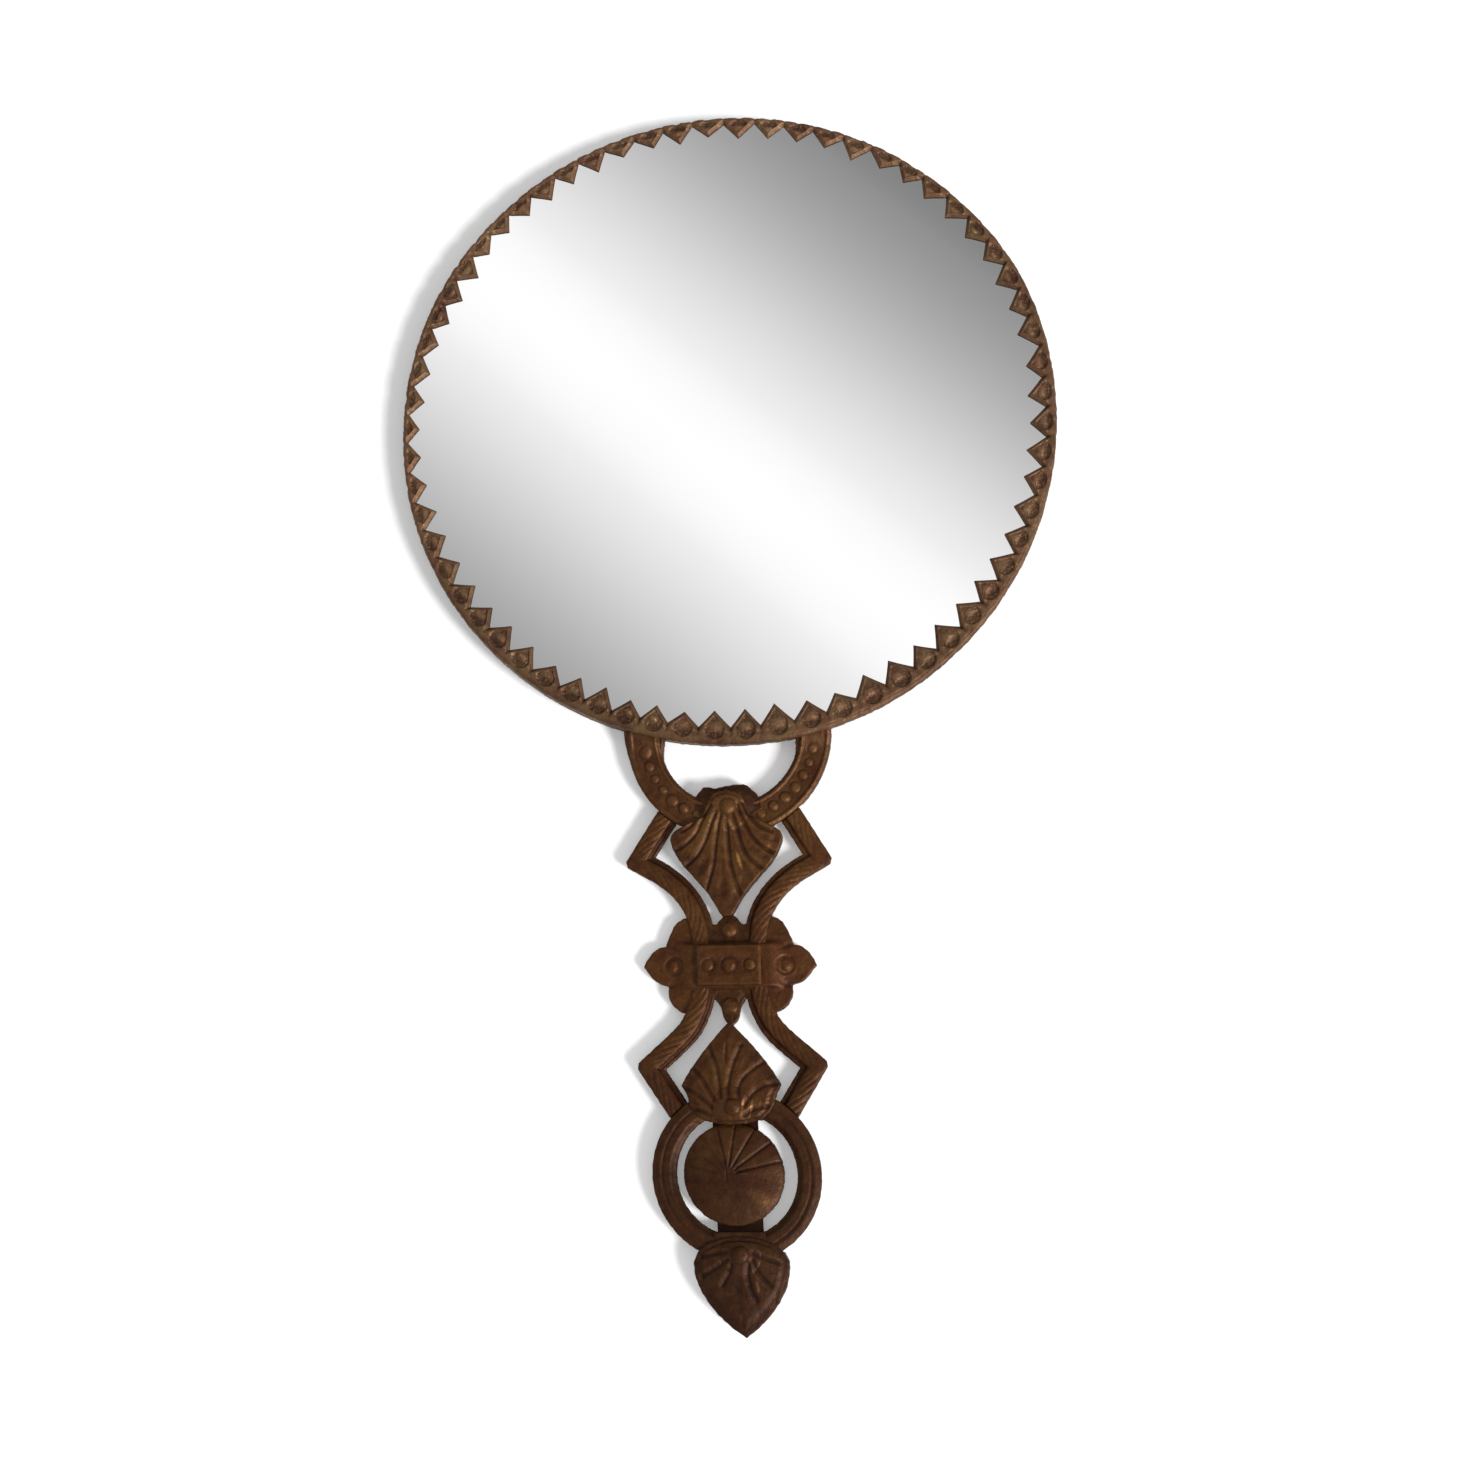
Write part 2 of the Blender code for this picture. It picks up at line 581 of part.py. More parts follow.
def main():
    """Build every piece of the mirror."""
    clear_scene()
    brass = make_material("aged_brass", (0.150, 0.085, 0.045), 0.45, 0.9)
    glass = make_material("mirror", (0.90, 0.91, 0.92), 0.03, 1.0)
    card = make_material("card", (0.30, 0.22, 0.15), 0.9, 0.0)
    build_bezel(brass)
    build_glass_and_back(glass, card, brass)
    build_screws(brass)
    build_yoke(brass)
    build_straps(brass)
    build_waist(brass)
    build_ornaments(brass)
    build_pommel(brass)
    build_rivets(brass)


main()
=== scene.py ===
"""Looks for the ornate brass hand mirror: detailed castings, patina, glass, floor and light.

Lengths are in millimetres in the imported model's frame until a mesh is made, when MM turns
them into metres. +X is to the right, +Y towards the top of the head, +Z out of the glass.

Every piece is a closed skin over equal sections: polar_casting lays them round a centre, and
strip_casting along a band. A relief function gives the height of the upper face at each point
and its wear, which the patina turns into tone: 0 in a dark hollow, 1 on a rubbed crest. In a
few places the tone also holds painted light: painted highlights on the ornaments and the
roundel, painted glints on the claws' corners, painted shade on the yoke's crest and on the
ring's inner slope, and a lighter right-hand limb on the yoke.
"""
import math

import bpy
import numpy as np
from mathutils import Matrix, Vector, noise


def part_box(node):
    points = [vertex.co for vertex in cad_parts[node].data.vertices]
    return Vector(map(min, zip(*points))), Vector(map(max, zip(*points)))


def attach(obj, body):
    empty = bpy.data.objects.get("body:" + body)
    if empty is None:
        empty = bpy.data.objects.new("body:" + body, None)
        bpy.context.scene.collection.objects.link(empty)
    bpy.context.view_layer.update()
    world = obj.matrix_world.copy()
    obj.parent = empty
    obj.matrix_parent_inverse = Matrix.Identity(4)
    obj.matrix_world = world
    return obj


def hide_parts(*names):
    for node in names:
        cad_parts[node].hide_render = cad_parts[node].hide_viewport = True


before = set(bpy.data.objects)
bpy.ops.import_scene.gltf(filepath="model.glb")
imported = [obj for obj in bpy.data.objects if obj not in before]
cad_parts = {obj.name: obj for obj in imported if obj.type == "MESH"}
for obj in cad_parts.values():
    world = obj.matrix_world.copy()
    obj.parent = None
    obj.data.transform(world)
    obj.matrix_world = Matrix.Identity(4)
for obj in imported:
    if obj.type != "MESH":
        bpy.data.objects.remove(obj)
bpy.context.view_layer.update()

MM = 0.001
ROOT = "root"

# Head
HEAD_RADIUS = 80.0
WALL_BOTTOM = 2.1
WALL_OPENING = 78.9           # inner radius of the bezel's wall
CLAW_COUNT = 65
CLAW_VALLEY_RADIUS = 76.2
CLAW_TIP_RADIUS = 72.6
COLUMNS_PER_CLAW = 34
SCREW_COUNT = 8

# Handle: its axis is bowed as in the CAD model, and its levels are heights above the floor
BOW = 3.33e-4
BOW_START = -78.0
BOW_VERTEX = -119.0
REAR_BOTTOM, REAR_TOP = 0.9, 1.9
FRAME_BOTTOM = 2.2
PAD_BOTTOM, PAD_TOP = 2.4, 4.8
LAP_TOP, LAP_ROOF = 3.2, 3.5  # a strap's end, and the frame above it
FRONT_BOTTOM = 5.3
PLATE_LOBE_TOP = 3.3
PLATE_BRIDGE_TOP = 4.5
JOINT_GAP = 0.3

YOKE_CENTRE = (0.0, -77.8)
YOKE_RADII = (16.4, 24.2)
YOKE_RIDGES = (17.45, 23.35)  # radii of the ridges on either side of the beads
YOKE_BEADS_PER_SIDE = 9
YOKE_BEAD_RADIUS = 20.2       # of the row of beads
YOKE_BEAD_START = 10.6        # degrees below the yoke's centre
YOKE_BEAD_STEP = 9.55
RING_CENTRE = (0.0, -179.2)
RING_RADII = (13.7, 19.3)
RING_PADS = [("ring_pad_top", 6.6, -167.3, -163.0), ("ring_pad_bottom", 5.8, -191.7, -195.0)]
ROUNDEL_RADIUS = 11.5
ROUNDEL_BAR = (5.2, -161.6, -198.4)    # half width and ends, like those of the pads
FAN_CENTRE = (0.0, -95.2)
PALMETTE_CENTRE = (0.0, -164.2)
LEAF_CENTRE = (0.0, -196.8)
WAIST_CENTRE = (0.0, -132.0)
CREST_CENTRE = (0.0, -93.6)
CARTOUCHE_HALF = (7.4, 4.75)
STRAP_WIDTH = 5.4
ROPE_PITCH = 2.85
ROPE_SLANT = 2.18

CREST_OUTLINE = [
    (7.4, -92.9), (6.9, -92.0), (5.8, -91.1), (4.6, -89.9), (3.6, -89.5), (1.2, -89.5),
    (-1.2, -89.9), (-3.4, -90.4), (-4.8, -90.0), (-6.0, -90.1), (-6.9, -91.0), (-8.0, -92.4),
    (-8.4, -95.5), (-4.0, -98.5), (4.0, -98.5), (8.2, -95.5),
]

# Outlines of symmetric plates, as runs of the right half from top to bottom
FAN_RUNS = [
    [(0.0, -91.0), (3.4, -92.2), (4.9, -95.0), (6.4, -97.6), (10.5, -99.6)],
    [(10.5, -99.6), (12.8, -101.2), (13.0, -103.6), (11.2, -107.4), (8.0, -111.2),
     (4.4, -115.4), (2.4, -118.6), (1.2, -120.5), (0.0, -120.8)],
]
PALMETTE_RUNS = [
    [(0.0, -144.8), (4.2, -149.2), (8.4, -154.4), (11.5, -159.2)],
    [(11.5, -159.2), (10.3, -161.4), (9.6, -164.0), (7.4, -166.6), (3.6, -167.9),
     (0.0, -168.2)],
]
LEAF_RUNS = [
    [(0.0, -192.9), (4.2, -193.4), (8.2, -194.9), (10.4, -197.2), (10.8, -200.0),
     (9.8, -204.0), (7.2, -208.4), (3.6, -212.2), (0.0, -214.9)],
]
WAIST_RUNS = [
    [(0.0, -119.6), (1.6, -120.6), (3.4, -122.3), (6.2, -121.2), (9.9, -120.6),
     (12.3, -121.8), (13.8, -124.2), (15.0, -127.2)],
    [(15.0, -127.3), (16.6, -127.6), (18.3, -128.9), (19.5, -130.5), (20.2, -132.1)],
    [(20.2, -132.1), (17.4, -135.4), (14.5, -136.6)],
    [(14.5, -136.6), (14.4, -139.2), (12.9, -141.6), (10.2, -142.8), (6.4, -141.2),
     (3.6, -139.6)],
    [(3.6, -139.6), (2.3, -141.8), (1.6, -144.4), (0.0, -146.0)],
]
# The centre line of the right-hand strap, from the yoke to the pommel ring
STRAP_RUNS = [
    [(12.0, -93.4), (14.7, -97.2), (21.0, -107.3)],
    [(21.0, -107.3), (14.9, -110.9), (10.3, -115.1), (7.2, -120.4), (6.1, -126.0),
     (5.9, -132.0), (6.2, -138.0), (7.6, -142.8), (10.6, -147.6), (18.9, -155.1)],
    [(18.9, -155.1), (12.8, -164.6), (11.2, -167.0)],
]

# Tones of the patina from hollows to rubbed crests, and a tint that is lighter at the top of the
# head and darker and more olive down to the foot
HANDLE_TONES = [(0.00, (0.010, 0.004, 0.002)), (0.25, (0.036, 0.014, 0.006)),
                (0.45, (0.075, 0.032, 0.012)), (0.70, (0.125, 0.062, 0.024)),
                (1.00, (0.300, 0.180, 0.080))]
BEZEL_TONES = [(0.00, (0.014, 0.007, 0.004)), (0.25, (0.050, 0.025, 0.014)),
               (0.45, (0.105, 0.056, 0.030)), (0.70, (0.165, 0.096, 0.052)),
               (1.00, (0.360, 0.250, 0.140))]
CLOUD_TINTS = [(0.30, (1.07, 0.94, 0.96)), (0.50, (1.0, 1.0, 1.0)), (0.70, (0.95, 1.05, 0.92))]
FOOT_TINTS = [(0.00, (1.06, 1.03, 1.02)), (0.30, (1.04, 1.00, 0.97)),
              (0.54, (0.86, 0.82, 0.76)), (0.62, (0.88, 0.78, 0.58)),
              (0.74, (0.76, 0.62, 0.44)), (0.84, (0.60, 0.48, 0.34)),
              (1.00, (0.38, 0.31, 0.26))]
FOOT_FADE_LENGTH = 0.29       # metres over which the tints run
FOOT_FADE_START = 0.28        # how far along them the origin lies
EDGE_WEAR, WALL_WEAR, UNDER_WEAR = 0.42, 0.22, 0.35

# Stage, in metres and degrees: floor, reflector and lights
FLOOR_HALF = 2.5
REFLECTOR_HALF = 0.30
REFLECTOR_PLACE = (-0.0796, 0.3305, 0.9)
REFLECTOR_ANGLE = 48.0
REFLECTOR_SHIFT = -0.0285
REFLECTOR_REACH = 0.255
REFLECTOR_STOPS = [(0.0, 1.0), (0.10, 0.985), (0.218, 0.88), (0.447, 0.645), (0.667, 0.418),
                   (0.898, 0.262), (1.0, 0.216)]
REFLECTOR_STRENGTH = 1.03
SUN_FROM = (0.80, -0.50, 0.70)
SUN_STRENGTH = 3.6
SUN_SOFTNESS = 17.0
HIGHLIGHT_FROM = (0.30, -0.42, 0.42)
HIGHLIGHT_SIZE = 0.12
HIGHLIGHT_POWER = 0.95
WORLD_STRENGTH = 0.63

# Camera: where it stands and what it looks at, its roll in degrees and its lens
CAMERA_PLACE = (41.2, -171.0, 468.5)
CAMERA_TARGET = (-0.5, -75.3, 0.0)
CAMERA_ROLL = -0.618
CAMERA_LENS = 49.68
CAMERA_SENSOR = 36.0


# -------------------- curves and noise

def smooth_run(controls, steps):
    """Points on a Catmull-Rom curve through the control points, as an array."""
    knots = [np.array(control, float) for control in controls]
    if len(knots) == 2:
        ways = np.linspace(0.0, 1.0, steps + 1)[:, None]
        return knots[0] + (knots[1] - knots[0]) * ways
    padded = [2.0 * knots[0] - knots[1], *knots, 2.0 * knots[-1] - knots[-2]]
    points = [knots[0]]
    for before, start, end, after in zip(padded, padded[1:], padded[2:], padded[3:]):
        for i in range(1, steps + 1):
            t = i / steps
            points.append(0.5 * (2.0 * start + (end - before) * t
                                 + (2.0 * before - 5.0 * start + 4.0 * end - after) * t * t
                                 + (3.0 * start - before - 3.0 * end + after) * t ** 3))
    return np.array(points)


def mirrored_outline(runs, steps=12):
    """A closed outline from the runs of its right half."""
    half = [smooth_run(run, steps)[:-1] for run in runs]
    half = np.vstack(half + [np.array([runs[-1][-1]], float)])
    left = half[-2:0:-1] * np.array([-1.0, 1.0])
    return np.vstack([half, left])


def reach(centre, outline, angles):
    """How far an outline lies from the centre along angles from straight down."""
    directions = np.stack([np.sin(angles), -np.cos(angles)], 1)
    first = outline - np.array(centre)
    edge = np.roll(outline, -1, 0) - outline
    cross = directions[:, None, 0] * edge[None, :, 1] - directions[:, None, 1] * edge[None, :, 0]
    cross = np.where(np.abs(cross) < 1e-9, 1e-9, cross)
    distance = (first[:, 0] * edge[:, 1] - first[:, 1] * edge[:, 0])[None] / cross
    along = (first[None, :, 0] * directions[:, None, 1]
             - first[None, :, 1] * directions[:, None, 0]) / cross
    hit = (distance > 0.0) & (along >= -1e-6) & (along <= 1.0 + 1e-6)
    return np.where(hit, distance, 0.0).max(1)


def smoothstep(low, high, value):
    """0 below low, 1 above high, and smooth between."""
    t = np.clip((value - low) / (high - low), 0.0, 1.0)
    return t * t * (3.0 - 2.0 * t)


def curve_distance(x, y, controls, steps=8):
    """The distance of each point from a smooth curve through a few control points."""
    run = smooth_run(controls, steps)
    nearest = np.full(np.broadcast(x, y).shape, 1e3)
    for (ax, ay), (bx, by) in zip(run[:-1], run[1:]):
        dx, dy = bx - ax, by - ay
        t = np.clip(((x - ax) * dx + (y - ay) * dy) / (dx * dx + dy * dy), 0.0, 1.0)
        nearest = np.minimum(nearest, np.hypot(x - ax - t * dx, y - ay - t * dy))
    return nearest


def oval(x, y, centre, half_length, half_width, lean):
    """1 inside a soft-edged oval, 0 outside; lean is in degrees from straight down."""
    turn = math.radians(lean)
    along = (x - centre[0]) * math.sin(turn) - (y - centre[1]) * math.cos(turn)
    aside = (x - centre[0]) * math.cos(turn) + (y - centre[1]) * math.sin(turn)
    return np.exp(-((along / half_length) ** 2 + (aside / half_width) ** 2) ** 2)


def gap_from(centre, x, y):
    """The distance of each point from a centre."""
    return np.hypot(x - centre[0], y - centre[1])


def bump(distance, radius):
    """A round dome: 1 at its centre, 0 from the radius outwards."""
    return np.sqrt(np.clip(1.0 - (distance / radius) ** 2, 0.0, 1.0))


def ridge(distance, width, power=2):
    """A soft ridge: 1 where the distance is 0, and fading out beyond the width."""
    return np.exp(-(distance / width) ** power)


def cast_noise(points, size, seed):
    """Smooth noise from -1 to 1 at each point; size is its grain in millimetres."""
    flat = points.reshape(-1, 3) / size + seed
    values = [noise.noise(Vector(point)) for point in flat.tolist()]
    return np.array(values).reshape(points.shape[:-1])


def bowed(points):
    """Shift points of the handle sideways onto its bowed axis."""
    shifted = points.copy()
    y = np.minimum(points[..., 1], BOW_START)
    shifted[..., 0] += BOW * ((y - BOW_VERTEX) ** 2 - (BOW_START - BOW_VERTEX) ** 2)
    return shifted


# -------------------- meshes

COARSE_GRAIN, FINE_GRAIN = 2.2, 0.8
SHARP_DEGREES = 55.0


def node_box(node):
    """The lowest and highest corners of a CAD node, in millimetres."""
    low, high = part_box(node)
    return low / MM, high / MM


def skin(name, sections, wear, material, joined, roughen=0.06, seed=0.0, bow=True):
    """A closed skin over equal closed sections, with the wear of each point kept on it."""
    sections = np.asarray(sections, float)
    stations, count = sections.shape[:2]
    grain = (cast_noise(sections, COARSE_GRAIN, seed)
             + 0.5 * cast_noise(sections, FINE_GRAIN, seed + 7.0))
    sections[..., 2] += roughen * (grain - 0.6)
    if bow:
        sections = bowed(sections)
    index = np.arange(stations * count).reshape(stations, count)
    low = index if joined else index[:-1]
    high = np.roll(index, -1, 0) if joined else index[1:]
    quads = np.stack([low, np.roll(low, -1, 1), np.roll(high, -1, 1), high], -1)
    quads = quads.reshape(-1, 4)
    points = sections.reshape(-1, 3)
    a, b, c, d = (points[quads[:, i]] for i in range(4))
    volume = np.einsum("ij,ij->", a, np.cross(b, c)) + np.einsum("ij,ij->", a, np.cross(c, d))
    faces = quads.tolist()
    if not joined:
        faces.append(index[0, ::-1].tolist())
        faces.append(index[-1].tolist())
    if volume < 0.0:
        faces = [face[::-1] for face in faces]
    mesh = bpy.data.meshes.new(name)
    mesh.from_pydata((points * MM).tolist(), [], faces)
    attribute = mesh.attributes.new("wear", "FLOAT", "POINT")
    attribute.data.foreach_set("value", np.asarray(wear, np.float32).ravel())
    mesh.shade_smooth()
    mesh.set_sharp_from_angle(angle=math.radians(SHARP_DEGREES))
    return linked(name, mesh, material)


def linked(name, mesh, material):
    """An object in the scene for a mesh of one material."""
    mesh.materials.append(material)
    thing = bpy.data.objects.new(name, mesh)
    bpy.context.scene.collection.objects.link(thing)
    return thing


def place(thing, slot, *nodes):
    """The piece rides on the root and stands for the nodes; slot is not used."""
    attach(thing, ROOT)
    if nodes:
        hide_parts(*nodes)
    return thing


# -------------------- materials

class Shading:
    """A material's node tree, with short ways to add the nodes that this script needs."""

    def __init__(self, name):
        self.material = bpy.data.materials.new(name)
        self.material.use_nodes = True
        self.tree = self.material.node_tree
        self.tree.nodes.clear()

    def add(self, kind, inputs=()):
        """A node with its inputs set to numbers and colours, or linked to sockets."""
        node = self.tree.nodes.new(f"ShaderNode{kind}")
        for key, value in dict(inputs).items():
            if isinstance(value, bpy.types.NodeSocket):
                self.tree.links.new(value, node.inputs[key])
            else:
                node.inputs[key].default_value = value
        return node

    def position(self):
        """Positions in the object's own space, in metres."""
        return self.add("TexCoord").outputs["Object"]

    def noise(self, scale, detail, roughness):
        """Noise in object space; scale is in grains per metre."""
        return self.add("TexNoise", {"Vector": self.position(), "Scale": scale, "Detail": detail,
                                     "Roughness": roughness}).outputs["Fac"]

    def ramp(self, value, stops, interpolation="LINEAR"):
        """A colour ramp over (position, colour) stops."""
        node = self.add("ValToRGB", {"Fac": value})
        node.color_ramp.interpolation = interpolation
        elements = node.color_ramp.elements
        while len(elements) < len(stops):
            elements.new(0.5)
        for element, (position, colour) in zip(elements, stops):
            element.position = position
            element.color = (*colour, 1.0)
        return node.outputs["Color"]

    def math(self, operation, *values, clamp=False):
        """A maths node over sockets or numbers."""
        node = self.add("Math", enumerate(values))
        node.operation = operation
        node.use_clamp = clamp
        return node.outputs["Value"]

    def spread(self, value, width):
        """A value from 0 to 1, spread over a width round 0."""
        return self.math("MULTIPLY_ADD", value, width, -width / 2.0)

    def tinted(self, colour, tint):
        """The colour multiplied by a tint."""
        mix = self.add("Mix", {"Factor": 1.0})
        mix.data_type = "RGBA"
        mix.blend_type = "MULTIPLY"
        sockets = [socket for socket in mix.inputs if socket.type == "RGBA"]
        for source, socket in zip((colour, tint), sockets):
            self.tree.links.new(source, socket)
        return next(socket for socket in mix.outputs if socket.type == "RGBA")

    def finish(self, shader):
        """The material, its surface shaded by the shader node."""
        self.add("OutputMaterial", {"Surface": shader.outputs[0]})
        return self.material


def patina(name, tones, shine):
    """Cast brass under brown patina: darker in hollows, rubbed on crests, red and olive clouds."""
    tree = Shading(name)
    wear = tree.add("Attribute")
    wear.attribute_name = "wear"
    broad = tree.noise(70.0, 3.0, 0.55)
    blotch = tree.noise(480.0, 5.0, 0.68)
    speck = tree.noise(2300.0, 3.0, 0.6)
    glint = tree.noise(1150.0, 2.0, 0.5)

    level = tree.math("ADD", wear.outputs["Fac"], tree.spread(blotch, 0.62))
    level = tree.math("ADD", level, tree.spread(broad, 0.5))
    level = tree.math("ADD", level, tree.spread(speck, 0.22), clamp=True)
    colour = tree.tinted(tree.ramp(level, tones),
                         tree.ramp(tree.noise(140.0, 3.0, 0.6), CLOUD_TINTS))
    # Lighter at the top of the head, darker and more olive down to the foot
    axes = tree.add("SeparateXYZ", {"Vector": tree.position()})
    down = tree.math("MULTIPLY_ADD", axes.outputs["Y"], -1.0 / FOOT_FADE_LENGTH,
                     FOOT_FADE_START, clamp=True)
    colour = tree.tinted(colour, tree.ramp(down, FOOT_TINTS))

    spots = tree.math("MULTIPLY_ADD", glint, 6.0, -3.75, clamp=True)
    gloss_and_painted_shine = tree.math("MULTIPLY", spots, level)
    gloss = tree.math("MULTIPLY_ADD", gloss_and_painted_shine, -0.30, shine)
    dull = tree.math("MULTIPLY_ADD", speck, 0.16, gloss)
    roughness = tree.math("MULTIPLY_ADD", level, -0.16, dull, clamp=True)
    pits = tree.math("MULTIPLY_ADD", speck, 0.35, blotch)
    relief = tree.add("Bump", {"Strength": 1.0, "Distance": 0.14 * MM, "Height": pits})
    return tree.finish(tree.add("BsdfPrincipled", {
        "Base Color": colour, "Metallic": 0.45, "Specular IOR Level": 0.16,
        "Roughness": roughness, "Normal": relief.outputs["Normal"]}))


def silvered_glass():
    """Silvered plate glass, its tone very slightly uneven."""
    tree = Shading("silvered_glass")
    tone = tree.ramp(tree.noise(25.0, 2.0, 0.5),
                     [(0.3, (0.965, 0.967, 0.967)), (0.7, (0.978, 0.978, 0.976))])
    return tree.finish(tree.add("BsdfPrincipled", {
        "Base Color": tone, "Metallic": 1.0, "Roughness": 0.012}))


def board():
    """Grey-brown card with short fibres."""
    tree = Shading("backing_card")
    tone = tree.ramp(tree.noise(1500.0, 4.0, 0.7),
                     [(0.3, (0.20, 0.14, 0.09)), (0.7, (0.34, 0.26, 0.18))])
    return tree.finish(tree.add("BsdfPrincipled", {"Base Color": tone, "Roughness": 0.92}))


# -------------------- section builders

EDGE_ROUND = 0.45
BEND = np.linspace(0.0, 0.5 * math.pi, 5)[1:]
RIM_WOBBLE = 0.16             # how far a casting's edge wanders inwards
SIDE_WOBBLE = 0.11            # the same for a band's sides
WALL_STEPS = np.linspace(0.0, 1.0, 6)[1:-1]


def worn_parts(*parts):
    """The wear of joined strips of points, from (wear, strip it covers) pairs."""
    return np.concatenate([np.broadcast_to(wear, strip.shape) for wear, strip in parts], 1)


def polar_casting(name, centre, outline, relief, underside, material, rays=420, rows=40,
                  inner=0.05, seed=0.0, shift=0.0):
    """A casting round a centre: relief gives (top, wear), underside the lower face.

    relief(x, y, way) has x and y from the centre, and the way out to the rim, 0 to 1.
    """
    angles = np.linspace(0.0, 2.0 * math.pi, rays, endpoint=False)
    edge = reach(centre, outline, angles)[:, None]
    rim_noise = cast_noise(np.stack([edge * np.sin(angles)[:, None],
                                     edge * np.cos(angles)[:, None], 0.0 * edge], -1),
                           1.1, seed + 3.0)
    edge = edge - RIM_WOBBLE * np.clip(0.5 + rim_noise, 0.0, 1.0)
    across, down = np.sin(angles)[:, None], -np.cos(angles)[:, None]
    ways = np.linspace(0.0, 1.0, rows)[None, :]
    radii = inner + (edge - EDGE_ROUND - inner) * ways
    tops, worn = relief(radii * across, radii * down, ways)
    tops = np.broadcast_to(tops, radii.shape)
    round_radii = edge - EDGE_ROUND + EDGE_ROUND * np.sin(BEND)
    round_tops = tops[:, -1:] - EDGE_ROUND * (1.0 - np.cos(BEND))
    under_radii = np.concatenate([edge, radii[:, ::-4]], 1)
    under = underside(under_radii * across + centre[0], under_radii * down + centre[1])
    under = np.broadcast_to(under, under_radii.shape)
    wall = round_tops[:, -1:] + (under[:, :1] - round_tops[:, -1:]) * WALL_STEPS
    wall_radii = np.broadcast_to(edge, wall.shape)
    r = np.concatenate([radii, round_radii, wall_radii, under_radii], 1)
    z = np.concatenate([tops, round_tops, wall, under], 1)
    wear = worn_parts((worn, radii), (EDGE_WEAR, round_radii), (WALL_WEAR, wall),
                      (UNDER_WEAR, under_radii))
    sections = np.stack([centre[0] + shift + r * across, centre[1] + r * down, z], -1)
    return skin(name, sections, wear, material, joined=True, seed=seed)


def strip_casting(name, at, stations, half_width, relief, underside, material, joined,
                  rows=26, seed=0.0):
    """A band: at(u, v) gives x and y; relief(u, v, x, y) gives (top, wear).

    u runs along the band from 0 to 1, and v across it from -1 to 1.
    """
    u = np.linspace(0.0, 1.0, stations, endpoint=not joined)[:, None]
    e = EDGE_ROUND / half_width
    v_top = np.linspace(-(1.0 - e), 1.0 - e, rows)[None, :]
    x, y = at(u, v_top)
    tops, worn = relief(u, v_top, x, y)
    tops = np.broadcast_to(tops, x.shape)
    v_round = (1.0 - e + e * np.sin(BEND))[None, :]
    drop = EDGE_ROUND * (1.0 - np.cos(BEND))[None, :]
    right_round = tops[:, -1:] - drop
    left_round = (tops[:, :1] - drop)[:, ::-1]
    v_under = np.linspace(1.0, -1.0, 9)[None, :]
    under_x, under_y = at(u, v_under)
    under = np.broadcast_to(underside(u, v_under, under_x, under_y), under_x.shape)
    right_wall = right_round[:, -1:] + (under[:, :1] - right_round[:, -1:]) * WALL_STEPS
    left_wall = under[:, -1:] + (left_round[:, :1] - under[:, -1:]) * WALL_STEPS
    ones = np.ones((1, len(WALL_STEPS)))
    v_all = np.concatenate([v_top, v_round, ones, v_under, -ones, -v_round[:, ::-1]], 1)
    z = np.concatenate([tops, right_round, right_wall, under, left_wall, left_round], 1)
    wear = worn_parts((worn, x), (EDGE_WEAR, right_round), (WALL_WEAR, right_wall),
                      (UNDER_WEAR, under), (WALL_WEAR, left_wall), (EDGE_WEAR, left_round))
    sides = np.sign(v_all) + 0.0 * u
    wobble = cast_noise(np.stack([40.0 * u + 0.0 * sides, 25.0 * sides, 0.0 * sides], -1),
                        0.5, seed)
    shrink = 1.0 - SIDE_WOBBLE / half_width * np.clip(0.5 + wobble, 0.0, 1.0)
    x, y = at(u, v_all * shrink)
    return skin(name, np.stack([x, y, z], -1), wear, material, joined, seed=seed)


# -------------------- the head

def hump(angle, degrees, spread):
    """A smooth rise to 1 round an angle, given in degrees like its spread."""
    gap = (np.degrees(angle) - degrees + 180.0) % 360.0 - 180.0
    return ridge(gap, spread)


def tip_drift(angle):
    """The opening was cut off centre: the claws are short above and long below."""
    return 0.75 + 1.2 * np.sin(angle) + 2.2 * hump(angle, 182.0, 16.0)


def valley_drift(angle):
    """How far out the roots of the claws lie, against the plain radius."""
    return 1.05 + 0.90 * np.sin(angle) + 1.6 * hump(angle, 182.0, 15.0)


def rim_drift(angle):
    """The hammered rim bulges a little at three places."""
    return (0.45 * hump(angle, 24.0, 13.0) + 1.15 * hump(angle, 296.0, 38.0)
            + 0.30 * hump(angle, 155.0, 13.0) - 0.08)


def claw_layout():
    """Each column of the rim: its angle, place across its claw, half width and inner edge."""
    dice = np.random.default_rng(11)
    widths = 1.0 + dice.normal(0.0, 0.055, CLAW_COUNT)
    bounds = np.concatenate([[0.0], np.cumsum(widths)]) / widths.sum() * 2.0 * math.pi
    tip_radius = CLAW_TIP_RADIUS + dice.normal(0.0, 0.36, CLAW_COUNT)
    lean = np.clip(dice.normal(0.0, 0.08, CLAW_COUNT), -0.2, 0.2)
    valley_radius = CLAW_VALLEY_RADIUS + dice.normal(0.0, 0.22, CLAW_COUNT)
    middles = 0.5 * (bounds[1:] + bounds[:-1])
    tip_radius += tip_drift(middles)
    valley_radius += valley_drift(bounds[:-1])
    position = np.arange(CLAW_COUNT * COLUMNS_PER_CLAW) / COLUMNS_PER_CLAW
    claw = np.floor(position).astype(int)
    u = 2.0 * (position - claw) - 1.0
    half = 0.5 * (bounds[claw + 1] - bounds[claw])
    angle = bounds[claw] + half * (u + 1.0)
    side = np.where(u < lean[claw], (u + 1.0) / (lean[claw] + 1.0),
                    (1.0 - u) / (1.0 - lean[claw]))
    valley = np.where(u < lean[claw], valley_radius[claw],
                      valley_radius[(claw + 1) % CLAW_COUNT])
    inner = valley + (tip_radius[claw] - valley) * side
    return angle[:, None], u[:, None], half[:, None], inner[:, None], claw


